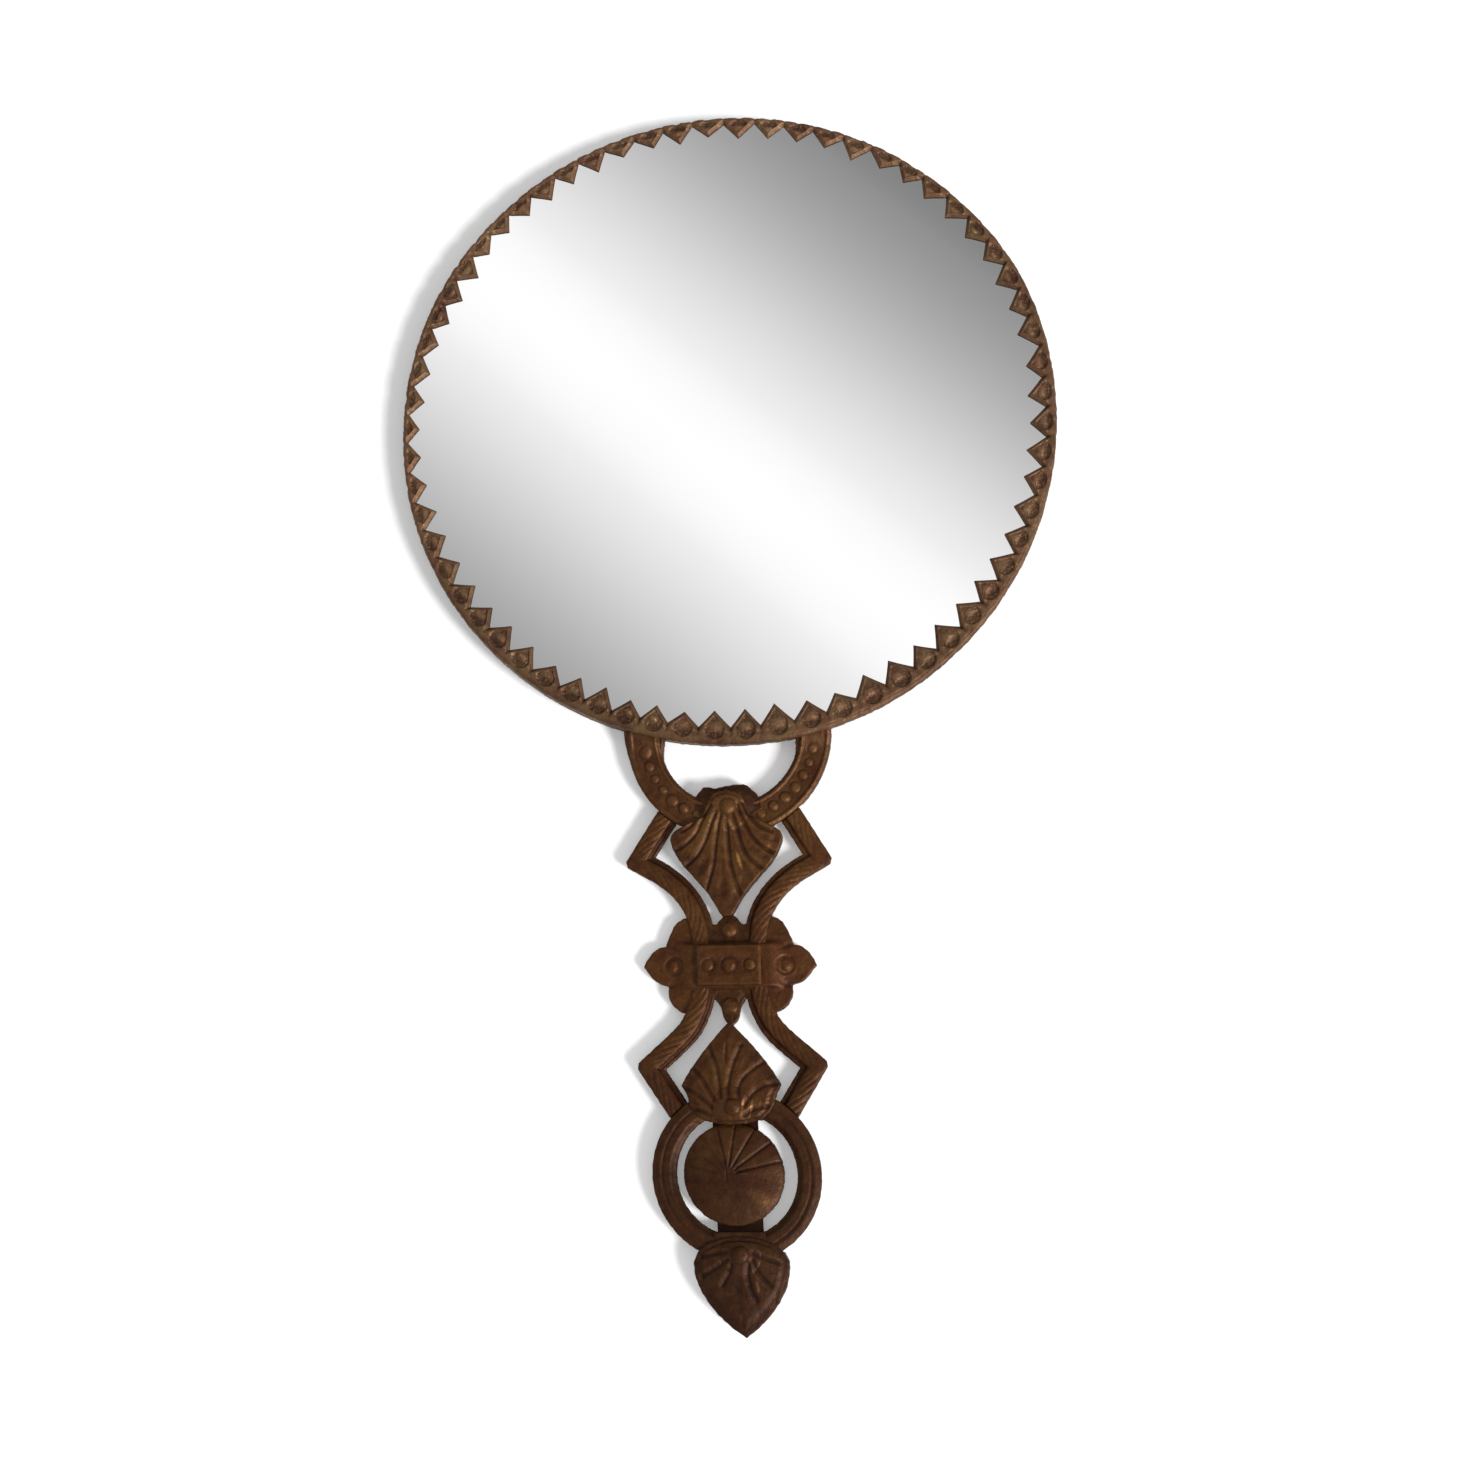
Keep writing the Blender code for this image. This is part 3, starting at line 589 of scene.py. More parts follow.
def claw_relief(radii, u, half, inner, claw, squeeze):
    """The top face of the claws: border, worn stud, round hollow with grains, outer band."""
    stud_radius, arch_radius, hollow_radius, seam_radius = 75.45, 76.35, 77.35, 78.75
    corner_place = (2.55, 76.75)
    dice = np.random.default_rng(23)
    stud_shift = dice.normal(0.0, 0.22, CLAW_COUNT)[claw][:, None]
    stud_size = np.clip(dice.normal(1.0, 0.16, CLAW_COUNT), 0.7, 1.3)[claw][:, None]
    stud_height = np.clip(dice.normal(0.36, 0.10, CLAW_COUNT), 0.1, 0.5)[claw][:, None]
    across = u * half * radii
    border = 0.72 * (radii - inner)
    radii = HEAD_RADIUS - (HEAD_RADIUS - radii) * squeeze
    edge_rise = smoothstep(0.0, 1.0, border)
    arch = np.hypot(across, np.maximum(radii - arch_radius, 0.0))
    inside = smoothstep(0.78, 1.12, border) * (1.0 - smoothstep(2.05, 2.45, arch))
    stud = np.exp(-((np.abs(across - stud_shift) / (1.25 * stud_size)) ** 3.0
                    + (np.abs(radii - stud_radius) / (0.95 * stud_size)) ** 3.0))
    hollow = np.exp(-((across / 2.1) ** 2 + (radii - hollow_radius) ** 2) ** 1.5)
    places = np.stack([across + 11.0 * claw[:, None], radii, 0.0 * radii], -1)
    grains = np.clip(cast_noise(places, 0.42, 5.0), 0.0, 1.0)
    wedge_side = (1.0 - np.abs(u)) * half * radii
    wedge = (ridge(wedge_side, 0.38) * smoothstep(75.9, 76.5, radii)
             * smoothstep(78.3, 77.5, radii))
    corner = bump(np.hypot(np.abs(across) - corner_place[0], radii - corner_place[1]), 0.45)
    outer_fall = smoothstep(78.4, 79.6, radii)
    seam = ridge(radii - seam_radius, 0.18)
    tops = (6.36 + 0.74 * edge_rise - 0.42 * inside + stud_height * stud * inside
            - 0.16 * hollow * inside + 0.34 * grains * inside * (1.0 - stud)
            + 0.14 * corner - 0.20 * wedge - 0.22 * outer_fall - 0.05 * seam)
    # corner is a real small bump at each border corner, and its raised tone is a painted glint
    worn = (0.42 + 0.08 * edge_rise - 0.12 * inside + 0.22 * stud * inside
            - 0.12 * hollow * inside + 0.40 * grains * inside + 0.18 * corner
            - 0.14 * wedge - 0.04 * seam)
    return tops, worn


def build_bezel(material):
    """The rim: a deep hammered wall, and hand-cut claws folded down on to the glass."""
    rows = 44
    shoulder = 1.1            # rounding between the claws' face and the wall
    claw_length = 3.8
    angle, u, half, inner, claw = claw_layout()
    ways = np.linspace(0.0, 1.0, rows)[None, :]
    bulge = rim_drift(angle)
    outer = HEAD_RADIUS - shoulder + bulge
    lip = inner + 0.10
    radii = lip + (outer - lip) * ways
    squeeze = np.clip(claw_length / (claw_length - 0.85 * valley_drift(angle) + bulge), 1.0, 1.4)
    tops, worn = claw_relief(radii - bulge, u, half, inner - bulge, claw, squeeze)

    bend = np.linspace(0.0, 0.5 * math.pi, 8)[1:]
    ring = np.stack([60.0 * np.cos(angle), 60.0 * np.sin(angle), 0.0 * angle], -1)
    wander = 0.6 * cast_noise(ring, 2.6, 3.0) + 0.6 * cast_noise(ring, 0.9, 8.0)
    rim = HEAD_RADIUS - 0.05 + bulge - 0.26 * np.clip(0.4 + wander, 0.0, 1.0)
    round_radii = outer + (rim - outer) * np.sin(bend)[None, :]
    round_tops = tops[:, -1:] - shoulder * (1.0 - np.cos(bend))[None, :]
    wall_way = np.linspace(0.0, 1.0, 9)[None, 1:]
    wall = round_tops[:, -1:] + (WALL_BOTTOM - round_tops[:, -1:]) * wall_way
    wall_radii = rim - 0.12 * np.sin(math.pi * wall_way) - 0.6 * bulge * wall_way

    # The claws' lower face: out from the wall over the glass, and up to the tip
    claw_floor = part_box("mirror_glass")[1].z / MM + 0.03
    flat = np.zeros_like(inner)
    wall_inner = np.full_like(inner, WALL_OPENING)
    tail_radii = np.concatenate([
        wall_inner, wall_inner, np.minimum(lip + 0.3, wall_inner - 0.05), inner + 0.02,
        inner + 0.02], 1)
    tail_z = np.concatenate([
        flat + WALL_BOTTOM, flat + claw_floor + 0.35, flat + claw_floor + 0.05,
        flat + claw_floor + 0.08, tops[:, :1] - 0.08], 1)
    r = np.concatenate([radii, round_radii, wall_radii, tail_radii], 1)
    z = np.concatenate([tops, round_tops, wall, tail_z], 1)
    wear = worn_parts((worn, radii), (EDGE_WEAR, round_radii), (0.26, wall), (0.2, tail_radii))
    sections = np.stack([r * np.cos(angle), r * np.sin(angle), z], -1)
    grain = np.where(np.arange(r.shape[1]) < rows + len(bend), 0.10, 0.0)[None, :]
    dents = cast_noise(sections, 1.6, 1.0) + 0.6 * cast_noise(sections, 0.6, 9.0) - 0.5
    sections[..., 2] += grain * dents * smoothstep(0.0, 0.6, r - inner)
    bezel = skin("bezel_ring_cast", sections, wear, material, joined=True, roughen=0.0,
                 bow=False)
    place(bezel, "bezel_brass", "bezel_ring")


def turned(name, centre, profile, segments, material, wear=0.4, roughen=0.0, seed=0.0):
    """A turned piece from (radius, z) pairs, its first and last rings capped."""
    angles = np.linspace(0.0, 2.0 * math.pi, segments, endpoint=False)
    loops = np.array([[(centre[0] + r * math.cos(a), centre[1] + r * math.sin(a), z)
                       for a in angles] for r, z in profile])
    return skin(name, loops, np.full(loops.shape[:2], wear), material, joined=False,
                roughen=roughen, seed=seed, bow=False)


def rounded_disc(radius, bottom, top, edge):
    """The profile of a disc with rounded edges, from the middle of its lower face."""
    bends = np.linspace(0.0, 0.5 * math.pi, 6)
    low = [(radius - edge + edge * math.sin(b), bottom + edge - edge * math.cos(b))
           for b in bends]
    high = [(radius - edge + edge * math.cos(b), top - edge + edge * math.sin(b))
            for b in bends]
    middle, flat = radius * 0.3, radius - edge - 0.05
    return [(middle, bottom), (flat, bottom), *low, *high, (flat, top), (middle, top)]


def build_glass_and_back(glass, card, back):
    """The glass, the card behind it, and the back plate with its raised bead."""
    for node, material, slot, edge in (("mirror_glass", glass, "silvered_glass", 0.35),
                                       ("backing_card", card, "backing_card", 0.2)):
        low, high = node_box(node)
        profile = rounded_disc(WALL_OPENING - 0.2, low.z, high.z, edge)
        place(turned(f"{node}_disc", (0.0, 0.0), profile, 360, material), slot, node)

    low, high = node_box("back_plate")
    dish_radii, dish_depth = (10.0, 30.0, 50.0, 64.5), 0.35
    bead_start, bead_width = 66.0, 3.0
    dish = [(r, low.z + dish_depth) for r in dish_radii]
    bead = [(r, low.z + 0.02 + dish_depth * math.sin(math.pi * (r - bead_start) / bead_width))
            for r in np.linspace(bead_start, bead_start + bead_width, 9)]
    rim = [(r, low.z + 0.05 + 0.25 * smoothstep(70.0, 71.0, r)) for r in (69.3, 70.0, 70.6)]
    edge = [(77.0, low.z + 0.02), (79.2, low.z + 0.03), (high.x - 0.15, low.z + 0.25),
            (high.x - 0.05, low.z + 0.8), (high.x - 0.2, high.z), (60.0, high.z),
            (20.0, high.z)]
    plate = turned("back_plate_spun", (0.0, 0.0), [*dish, *bead, *rim, *edge], 360, back,
                   wear=0.38)
    place(plate, "back_brass", "back_plate")


def build_back_screws(material):
    """The screws in the back, each with a cut slot in its head."""
    slot_half, slot_edge, slot_depth = 0.20, 0.32, 0.22
    shank_radius, tip_radius = 0.65, 0.3
    angles = np.linspace(0.0, 2.0 * math.pi, 48, endpoint=False)
    for number in range(1, SCREW_COUNT + 1):
        node = f"back_screw_{number}"
        low, high = node_box(node)
        x, y = 0.5 * (low.x + high.x), 0.5 * (low.y + high.y)
        radius = 0.5 * (high.x - low.x)
        turn = math.radians(37.0 * number)
        loops, worn = [], []
        for way in (0.03, 0.2, 0.35, 0.5, 0.65, 0.8, 0.92, 1.0):
            px, py = way * radius * np.cos(angles), way * radius * np.sin(angles)
            aside = np.abs(py * math.cos(turn) - px * math.sin(turn))
            slot_cut = smoothstep(slot_edge, slot_half, aside)
            loops.append(np.stack([x + px, y + py, low.z + 0.02 + slot_depth * slot_cut
                                   + 0.06 * way ** 4], 1))
            worn.append(0.55 - 0.4 * slot_cut)
        for r, z in ((radius, low.z + 0.6), (shank_radius, low.z + 0.7),
                     (shank_radius, high.z - 0.4), (tip_radius, high.z - 0.02)):
            loops.append(np.stack([x + r * np.cos(angles), y + r * np.sin(angles),
                                   np.full_like(angles, z)], 1))
            worn.append(np.full_like(angles, 0.4))
        screw = skin(f"{node}_slotted", np.array(loops), np.array(worn), material,
                     joined=False, roughen=0.0, bow=False)
        place(screw, "fastener_brass", node)


# -------------------- the handle

def build_yoke(material):
    """The half-round yoke: two low ridges, a row of worn beads in the channel, and its crest."""
    inner, outer = YOKE_RADII
    middle, half = 0.5 * (inner + outer), 0.5 * (outer - inner)
    drop = -YOKE_CENTRE[1]
    head = HEAD_RADIUS - 0.4
    beads_shape = (2, YOKE_BEADS_PER_SIDE)
    dice = np.random.default_rng(5)
    size = np.clip(dice.normal(1.0, 0.13, beads_shape), 0.75, 1.25)
    shift = dice.normal(0.0, 0.15, beads_shape)
    height = np.clip(dice.normal(0.52, 0.12, beads_shape), 0.25, 0.75)

    def at(u, v):
        r = middle + half * v
        lift = np.arcsin((r ** 2 + drop ** 2 - head ** 2) / (2.0 * drop * r))
        theta = lift - (math.pi + 2.0 * lift) * u
        flare = smoothstep(0.12, 0.0, np.minimum(u, 1.0 - u))
        across = r * np.cos(theta)
        across = across + flare * np.where(across > 0.0, 0.4 * v - 0.4, -1.0 * v + 0.1)
        return across, YOKE_CENTRE[1] + r * np.sin(theta)

    def relief(u, v, x, y):
        side = (x < 0.0).astype(int)
        dx, dy = np.abs(x), YOKE_CENTRE[1] - y
        r = np.hypot(dx, dy)
        below = np.degrees(np.arctan2(dy, dx))
        number = np.clip(np.round((below - YOKE_BEAD_START) / YOKE_BEAD_STEP), 0,
                         YOKE_BEADS_PER_SIDE - 1).astype(int)
        bead_angle = np.radians(YOKE_BEAD_START + YOKE_BEAD_STEP * number)
        bead_radius = YOKE_BEAD_RADIUS + shift[side, number]
        gap = np.hypot(dx - bead_radius * np.cos(bead_angle),
                       dy - bead_radius * np.sin(bead_angle))
        beads = bump(gap, 1.15 * size[side, number])
        ring = ridge(gap - 1.35 * size[side, number], 0.22)
        outer_ridge = ridge(r - YOKE_RIDGES[1], 0.42, 4)
        inner_ridge = ridge(r - YOKE_RIDGES[0], 0.36, 4)
        inner_slope = smoothstep(17.2, inner, r)
        outer_slope = smoothstep(23.7, outer, r)
        near_head = smoothstep(HEAD_RADIUS + 4.5, HEAD_RADIUS + 0.2, np.hypot(x, y))
        top = (4.35 + 0.34 * outer_ridge + 0.32 * inner_ridge - 0.40 * inner_slope
               - 0.25 * outer_slope + 0.85 * height[side, number] * beads
               - 0.06 * ring + 1.3 * near_head)
        # Painted light: the right-hand limb is toned lighter than the left
        lit = np.where(x > 0.0, 0.06, 0.02)
        worn = (0.38 + lit + 0.07 * outer_ridge + 0.10 * inner_ridge - 0.10 * inner_slope
                + 0.13 * beads - 0.07 * ring)
        return top, worn

    def underside(u, v, x, y):
        below = np.degrees(np.arctan2(YOKE_CENTRE[1] - y, np.abs(x)))
        over_strap = (below > 44.0) & (below < 63.0)
        return np.where(over_strap, LAP_ROOF, FRAME_BOTTOM)

    yoke = strip_casting("yoke_cast", at, 360, half, relief, underside, material, False,
                         rows=48, seed=11.0)
    place(yoke, "handle_brass", "yoke")

    # The crest's tone is painted shade: dark, and darker still towards its rim
    def painted_shade_crest(x, y, way):
        shade = 0.30 - 0.10 * smoothstep(0.55, 0.95, way)
        return 4.95 - 0.55 * smoothstep(0.6, 1.0, way), shade

    crest = polar_casting("yoke_crest", CREST_CENTRE, np.array(CREST_OUTLINE), painted_shade_crest,
                          lambda x, y: FRAME_BOTTOM, material, rays=240, rows=22, seed=12.0)
    place(crest, "handle_brass")


def signed_turn(before, after):
    """How far the second direction is turned from the first, left being positive."""
    cross = before[0] * after[1] - before[1] * after[0]
    return math.atan2(cross, float(before @ after))


def strap_frame():
    """The right strap from top to bottom: centre points, side vectors, lengths, knee gaps.

    There are two side vectors at each point: a full mitre for the inner side, and a
    blunted one for the outer side, which rounds the elbows off.
    """
    blunt = 0.62
    step_length = 0.16
    runs = [smooth_run(run, 90) for run in STRAP_RUNS]
    steps = [np.linalg.norm(np.diff(run, axis=0), axis=1) for run in runs]
    units = [np.diff(run, axis=0) / step[:, None] for run, step in zip(runs, steps)]
    points, inner_sides, outer_sides, lengths, gaps = [], [], [], [], []
    travelled = 0.0
    for number, run in enumerate(runs):
        length = np.concatenate([[0.0], np.cumsum(steps[number])])
        even = np.linspace(0.0, length[-1], int(length[-1] / step_length))
        run = np.stack([np.interp(even, length, run[:, 0]),
                        np.interp(even, length, run[:, 1])], 1)
        tangent = np.gradient(run, axis=0)
        tangent /= np.linalg.norm(tangent, axis=1)[:, None]
        normal = np.stack([-tangent[:, 1], tangent[:, 0]], 1)
        inner_side, outer_side = normal.copy(), normal.copy()
        fade = min(5.5, 0.45 * even[-1])
        gap = np.full(len(even), 99.0)
        knees = []
        if number > 0:
            knees.append((1.0, units[number - 1][-1], units[number][0], even))
        if number < len(runs) - 1:
            knees.append((-1.0, units[number][-1], units[number + 1][0], even[-1] - even))
        for sense, before, after, distance in knees:
            slope = sense * math.tan(signed_turn(before, after) / 2.0)
            pull = np.clip(1.0 - distance / fade, 0.0, 1.0)[:, None]
            inner_side += tangent * slope * pull
            outer_side += tangent * slope * np.minimum(pull, blunt)
            gap = np.minimum(gap, distance)
        points.append(run)
        inner_sides.append(inner_side)
        outer_sides.append(outer_side)
        lengths.append(travelled + even)
        gaps.append(gap)
        travelled += even[-1]
    return (np.vstack(points), np.vstack(inner_sides), np.vstack(outer_sides),
            np.concatenate(lengths), np.concatenate(gaps))


def under_frame(x, y):
    """Where a strap's end passes under the yoke or the pommel ring."""
    return ((gap_from(YOKE_CENTRE, x, y) < YOKE_RADII[1] + 0.1)
            | (gap_from(RING_CENTRE, x, y) < RING_RADII[1] + 0.1))


def build_straps(material):
    """The rope straps: slanting strands on the outer side, a plain ledge on the inner."""
    points, inner_sides, outer_sides, lengths, gaps = strap_frame()
    half = STRAP_WIDTH / 2.0

    for sign, name in ((1.0, "right"), (-1.0, "left")):
        def at(u, v, sign=sign):
            index = np.round(u * (len(points) - 1)).astype(int)[:, 0]
            out = v > 0.0
            side_x = np.where(out, outer_sides[index, :1], inner_sides[index, :1])
            side_y = np.where(out, outer_sides[index, 1:], inner_sides[index, 1:])
            x = points[index, :1] + side_x * half * v
            y = points[index, 1:] + side_y * half * v
            return sign * x, y

        def relief(u, v, x, y, sign=sign):
            index = np.round(u * (len(points) - 1)).astype(int)[:, 0]
            s, gap = lengths[index][:, None], gaps[index][:, None]
            place_noise = cast_noise(np.stack([x, y, 0.0 * x], -1), 3.0, 2.0 + sign)
            phase = (s + sign * ROPE_SLANT * v * half) / ROPE_PITCH + 0.12 * place_noise
            strand = 1.0 - np.abs(2.0 * (phase - np.floor(phase)) - 1.0) ** 2.6
            rope = smoothstep(-0.52, -0.30, v) * smoothstep(0.99, 0.82, v)
            calm = 0.15 + 0.85 * smoothstep(1.5, 6.0, gap + 2.0 * (1.0 - v))
            worn_down = np.clip(0.8 + 0.5 * place_noise, 0.2, 1.1)
            dome = bump(v - 0.24, 0.85)
            ledge = smoothstep(-0.40, -0.56, v)
            amount = rope * calm * worn_down
            top = (3.50 + 0.75 * dome + 0.16 * (strand - 0.55) * amount - 0.20 * ledge)
            worn = 0.40 + 0.04 * dome + 0.08 * (strand - 0.6) * amount - 0.10 * ledge
            lapped = under_frame(x, y)
            under_plate = np.abs(y - WAIST_CENTRE[1]) < 4.6
            top = np.where(lapped, LAP_TOP, np.where(under_plate, 3.9, top))
            return top, np.where(lapped, 0.1, worn)

        strap = strip_casting(f"rope_strap_{name}_cast", at, len(points), half, relief,
                              lambda u, v, x, y: FRAME_BOTTOM, material, False, rows=30,
                              seed=20.0 + sign)
        place(strap, "handle_brass", f"rope_strap_{name}")


def plate_top(x, y):
    """The waist plate's top face: lobes falling outwards from a bridge over the straps."""
    bridge = smoothstep(6.0, 4.5, np.abs(y)) * smoothstep(13.5, 9.3, np.abs(x))
    return PLATE_LOBE_TOP + (PLATE_BRIDGE_TOP - PLATE_LOBE_TOP) * bridge


def build_waist(material):
    """The lobed waist plate, which bridges the straps, and the raised cartouche."""
    def lobed(x, y, way):
        ax = np.abs(x)
        seams = np.minimum(np.abs((y - 4.4) - 0.25 * (ax - 13.0)),
                           np.abs((y + 4.6) + 0.10 * (ax - 13.0)))
        seam = ridge(seams, 0.5) * smoothstep(11.5, 13.6, ax)
        lobe_round = 0.30 * (1.0 - smoothstep(0.62, 1.0, way) ** 2)
        stud_gap = np.hypot(ax - 12.9, y)
        collar = ridge(stud_gap - 1.95, 0.28)
        ring = ridge(stud_gap - 2.6, 0.25)
        top = plate_top(x, y) - 0.15 + lobe_round - 0.20 * seam - 0.12 * collar + 0.05 * ring
        between = smoothstep(8.5, 7.0, ax) * smoothstep(4.8, 5.8, np.abs(y))
        worn = (0.44 + 0.08 * lobe_round - 0.12 * seam - 0.10 * collar + 0.04 * ring
                - 0.12 * between)
        return top, worn

    waist = polar_casting("waist_plate_cast", WAIST_CENTRE, mirrored_outline(WAIST_RUNS),
                          lobed, lambda x, y: REAR_BOTTOM, material, rays=640, rows=72,
                          seed=31.0)
    place(waist, "handle_brass", "waist_plate")

    half_x, half_y = CARTOUCHE_HALF

    def at(u, v):
        return half_x * (2.0 * u - 1.0) + 0.0 * v, WAIST_CENTRE[1] + half_y * v + 0.0 * u

    def panel(u, v, x, y):
        depth = np.minimum(half_x - np.abs(x), half_y - np.abs(y - WAIST_CENTRE[1]))
        rise = smoothstep(0.0, 0.5, depth)
        sink = smoothstep(1.9, 3.2, depth)
        near = np.minimum(gap_from(WAIST_CENTRE, x, y) - 1.85,
                          gap_from(WAIST_CENTRE, np.abs(x) - 4.8, y) - 1.45)
        collar = ridge(near, 0.24)
        corner_rub = smoothstep(1.0, 0.3, depth)
        top = 5.75 + 0.42 * rise - 0.20 * sink - 0.10 * collar
        worn = 0.44 + 0.10 * corner_rub - 0.06 * sink - 0.10 * collar
        return top, worn

    cartouche = strip_casting("cartouche_cast", at, 130, half_y, panel,
                              lambda u, v, x, y: 4.7, material, False, rows=70, seed=33.0)
    place(cartouche, "handle_brass", "cartouche_plate")


def notch_under(centre, radius):
    """The lower face of an ornament that lies over a frame piece round a centre."""
    def underside(x, y):
        return np.where(gap_from(centre, x, y) < radius, FRONT_BOTTOM, FRAME_BOTTOM)
    return underside


# Carving of the ornaments, from each one's own centre: grooves as lines, and hollows and
# patches of painted highlight as (middle, half length, half width, lean in degrees, strength)
FAN_GROOVES = [
    [(-0.1, -1.5), (0.3, -4.5), (0.6, -9.0), (1.1, -13.5), (2.2, -17.5), (3.4, -20.6)],
    [(-1.1, -1.5), (-1.8, -4.5), (-2.4, -9.0), (-2.9, -13.5), (-3.9, -17.0), (-4.8, -20.0)],
    [(1.2, -1.0), (2.4, -4.4), (3.4, -8.0), (5.0, -11.6), (8.6, -14.9)],
    [(-2.2, -1.0), (-3.5, -4.0), (-4.7, -7.6), (-6.7, -11.2), (-9.8, -14.0)],
    [(2.6, 0.3), (4.2, -3.6), (6.4, -7.4), (9.0, -9.9), (12.0, -11.4)],
    [(-3.6, 0.3), (-5.4, -2.6), (-7.0, -6.0), (-9.6, -8.7), (-12.4, -10.2)],
    [(4.0, 0.8), (5.6, -2.4), (7.9, -4.8), (10.6, -6.0)],
    [(-4.8, 0.8), (-6.4, -1.8), (-8.2, -4.2), (-10.4, -5.6)],
]
FAN_HOLLOWS = [
    ((-0.8, -19.0), 2.6, 1.05, 0.0, 1.0), ((-0.9, -15.0), 2.2, 0.45, 0.0, 0.5),
    ((4.2, -14.6), 2.7, 1.05, 30.0, 0.9), ((-5.3, -13.6), 2.4, 0.95, -24.0, 0.8),
    ((7.6, -10.8), 2.5, 0.85, 50.0, 0.8), ((-8.3, -11.3), 1.8, 0.7, -45.0, 0.4),
    ((10.0, -7.4), 2.0, 0.75, 68.0, 0.7), ((-10.3, -7.2), 1.4, 0.6, -62.0, 0.35),
]
PALMETTE_GROOVES = [
    [(-2.5, 2.2), (-2.7, 5.5), (-3.2, 9.4), (-4.9, 14.2)],
    [(-0.7, 2.2), (-0.5, 5.4), (0.6, 9.4), (2.6, 13.8)],
    [(1.6, 1.8), (1.9, 4.8), (3.6, 7.2), (8.2, 10.4)],
    [(-3.9, 1.6), (-5.2, 3.9), (-7.0, 7.0), (-9.4, 9.6)],
    [(2.8, 0.2), (4.6, 2.6), (7.6, 4.6), (10.4, 5.0)],
    [(-4.6, 0.0), (-6.4, 1.6), (-8.6, 3.4), (-10.8, 4.2)],
    [(3.0, -1.8), (5.0, -0.6), (8.0, 0.0)],
    [(-5.0, -1.8), (-7.0, -0.8), (-9.0, -0.4)],
]
PALMETTE_HOLLOWS = [
    ((-1.0, 12.2), 2.6, 0.40, 176.0, 0.9), ((3.6, 9.8), 2.3, 0.75, 152.0, 0.6),
    ((-5.2, 9.0), 2.2, 0.8, -155.0, 0.35), ((6.8, 5.4), 2.2, 0.8, 122.0, 0.35),
]
LEAF_GROOVES = [
    [(-2.1, -2.0), (-2.8, -4.0), (-4.4, -6.4)],
    [(-3.0, -1.0), (-5.4, -2.6), (-8.8, -4.6)],
    [(1.7, -2.0), (1.4, -4.6), (1.9, -7.6), (3.0, -9.8)],
    [(2.6, -1.2), (3.9, -4.0), (6.4, -6.8)],
    [(3.0, 0.4), (5.4, -0.8), (8.2, -1.8)],
    [(-3.4, 0.6), (-6.0, 0.2), (-8.6, -0.4)],
]
LEAF_HOLLOWS = [((-0.6, -7.6), 2.6, 1.3, 0.0, 0.35), ((-0.3, -14.2), 1.4, 0.7, 0.0, 0.5)]
# Patches of painted highlight, added to the tone of the fan, the palmette and the leaf
FAN_PAINTED_HIGHLIGHTS = [((3.1, -12.6), 2.4, 0.45, 18.0, 0.55), ((0.6, -3.4), 1.6, 0.5, 30.0, 0.30)]
PALMETTE_PAINTED_HIGHLIGHTS = [((2.6, 0.6), 1.6, 0.35, -10.0, 0.45), ((4.6, 0.2), 1.6, 0.30, -12.0, 0.40),
                 ((6.4, 0.6), 1.2, 0.30, -20.0, 0.30)]
LEAF_PAINTED_HIGHLIGHTS = [((3.4, -6.8), 1.5, 0.40, 10.0, 0.50), ((9.0, -6.6), 2.4, 0.30, -20.0, 0.40),
             ((6.6, -10.8), 1.0, 0.35, -35.0, 0.35)]


def strongest(x, y, patches, shape):
    """The strength of the strongest of some oval patches at each point."""
    strength = np.zeros(shape)
    for centre, length, width, lean, amount in patches:
        strength = np.maximum(strength, amount * oval(x, y, centre, length, width, lean))
    return strength


def carved(grooves, hollows, painted_highlights, groove_depth, hood, base, fall):
    """Relief of curving flutes between grooves, with hollows and patches of painted highlight.

    hood is the radius of the swelling round the stud, base the level at the centre, and
    fall how far the face drops towards the rim.
    """
    def relief(x, y, way):
        nearest = np.full(np.broadcast(x, y).shape, 9.0)
        for groove in grooves:
            nearest = np.minimum(nearest, curve_distance(x, y, groove))
        sunk = strongest(x, y, hollows, nearest.shape)
        # Painted highlight: bright patches added to the tone
        gloss_and_painted_shine = strongest(x, y, painted_highlights, nearest.shape)
        radius = np.hypot(x, y)
        reach_out = smoothstep(1.2, 3.2, radius)
        cut = ridge(nearest, 0.40) * reach_out
        crown = smoothstep(0.2, 1.3, nearest)
        # lip paints a bright line beside each groove: a painted highlight, with no raise in the
        # face
        lip = ridge(nearest - 0.85, 0.30) * reach_out
        rim = smoothstep(0.80, 0.93, way)
        swell = bump(radius, hood) * 0.55
        top = (base - fall * way ** 2 - groove_depth * cut + 0.14 * crown + swell
               - 0.22 * sunk - 0.28 * rim)
        worn = (0.42 + 0.05 * crown - 0.18 * cut + 0.10 * lip - 0.14 * sunk - 0.10 * rim
                + 0.03 * swell + gloss_and_painted_shine)
        return top, worn
    return relief


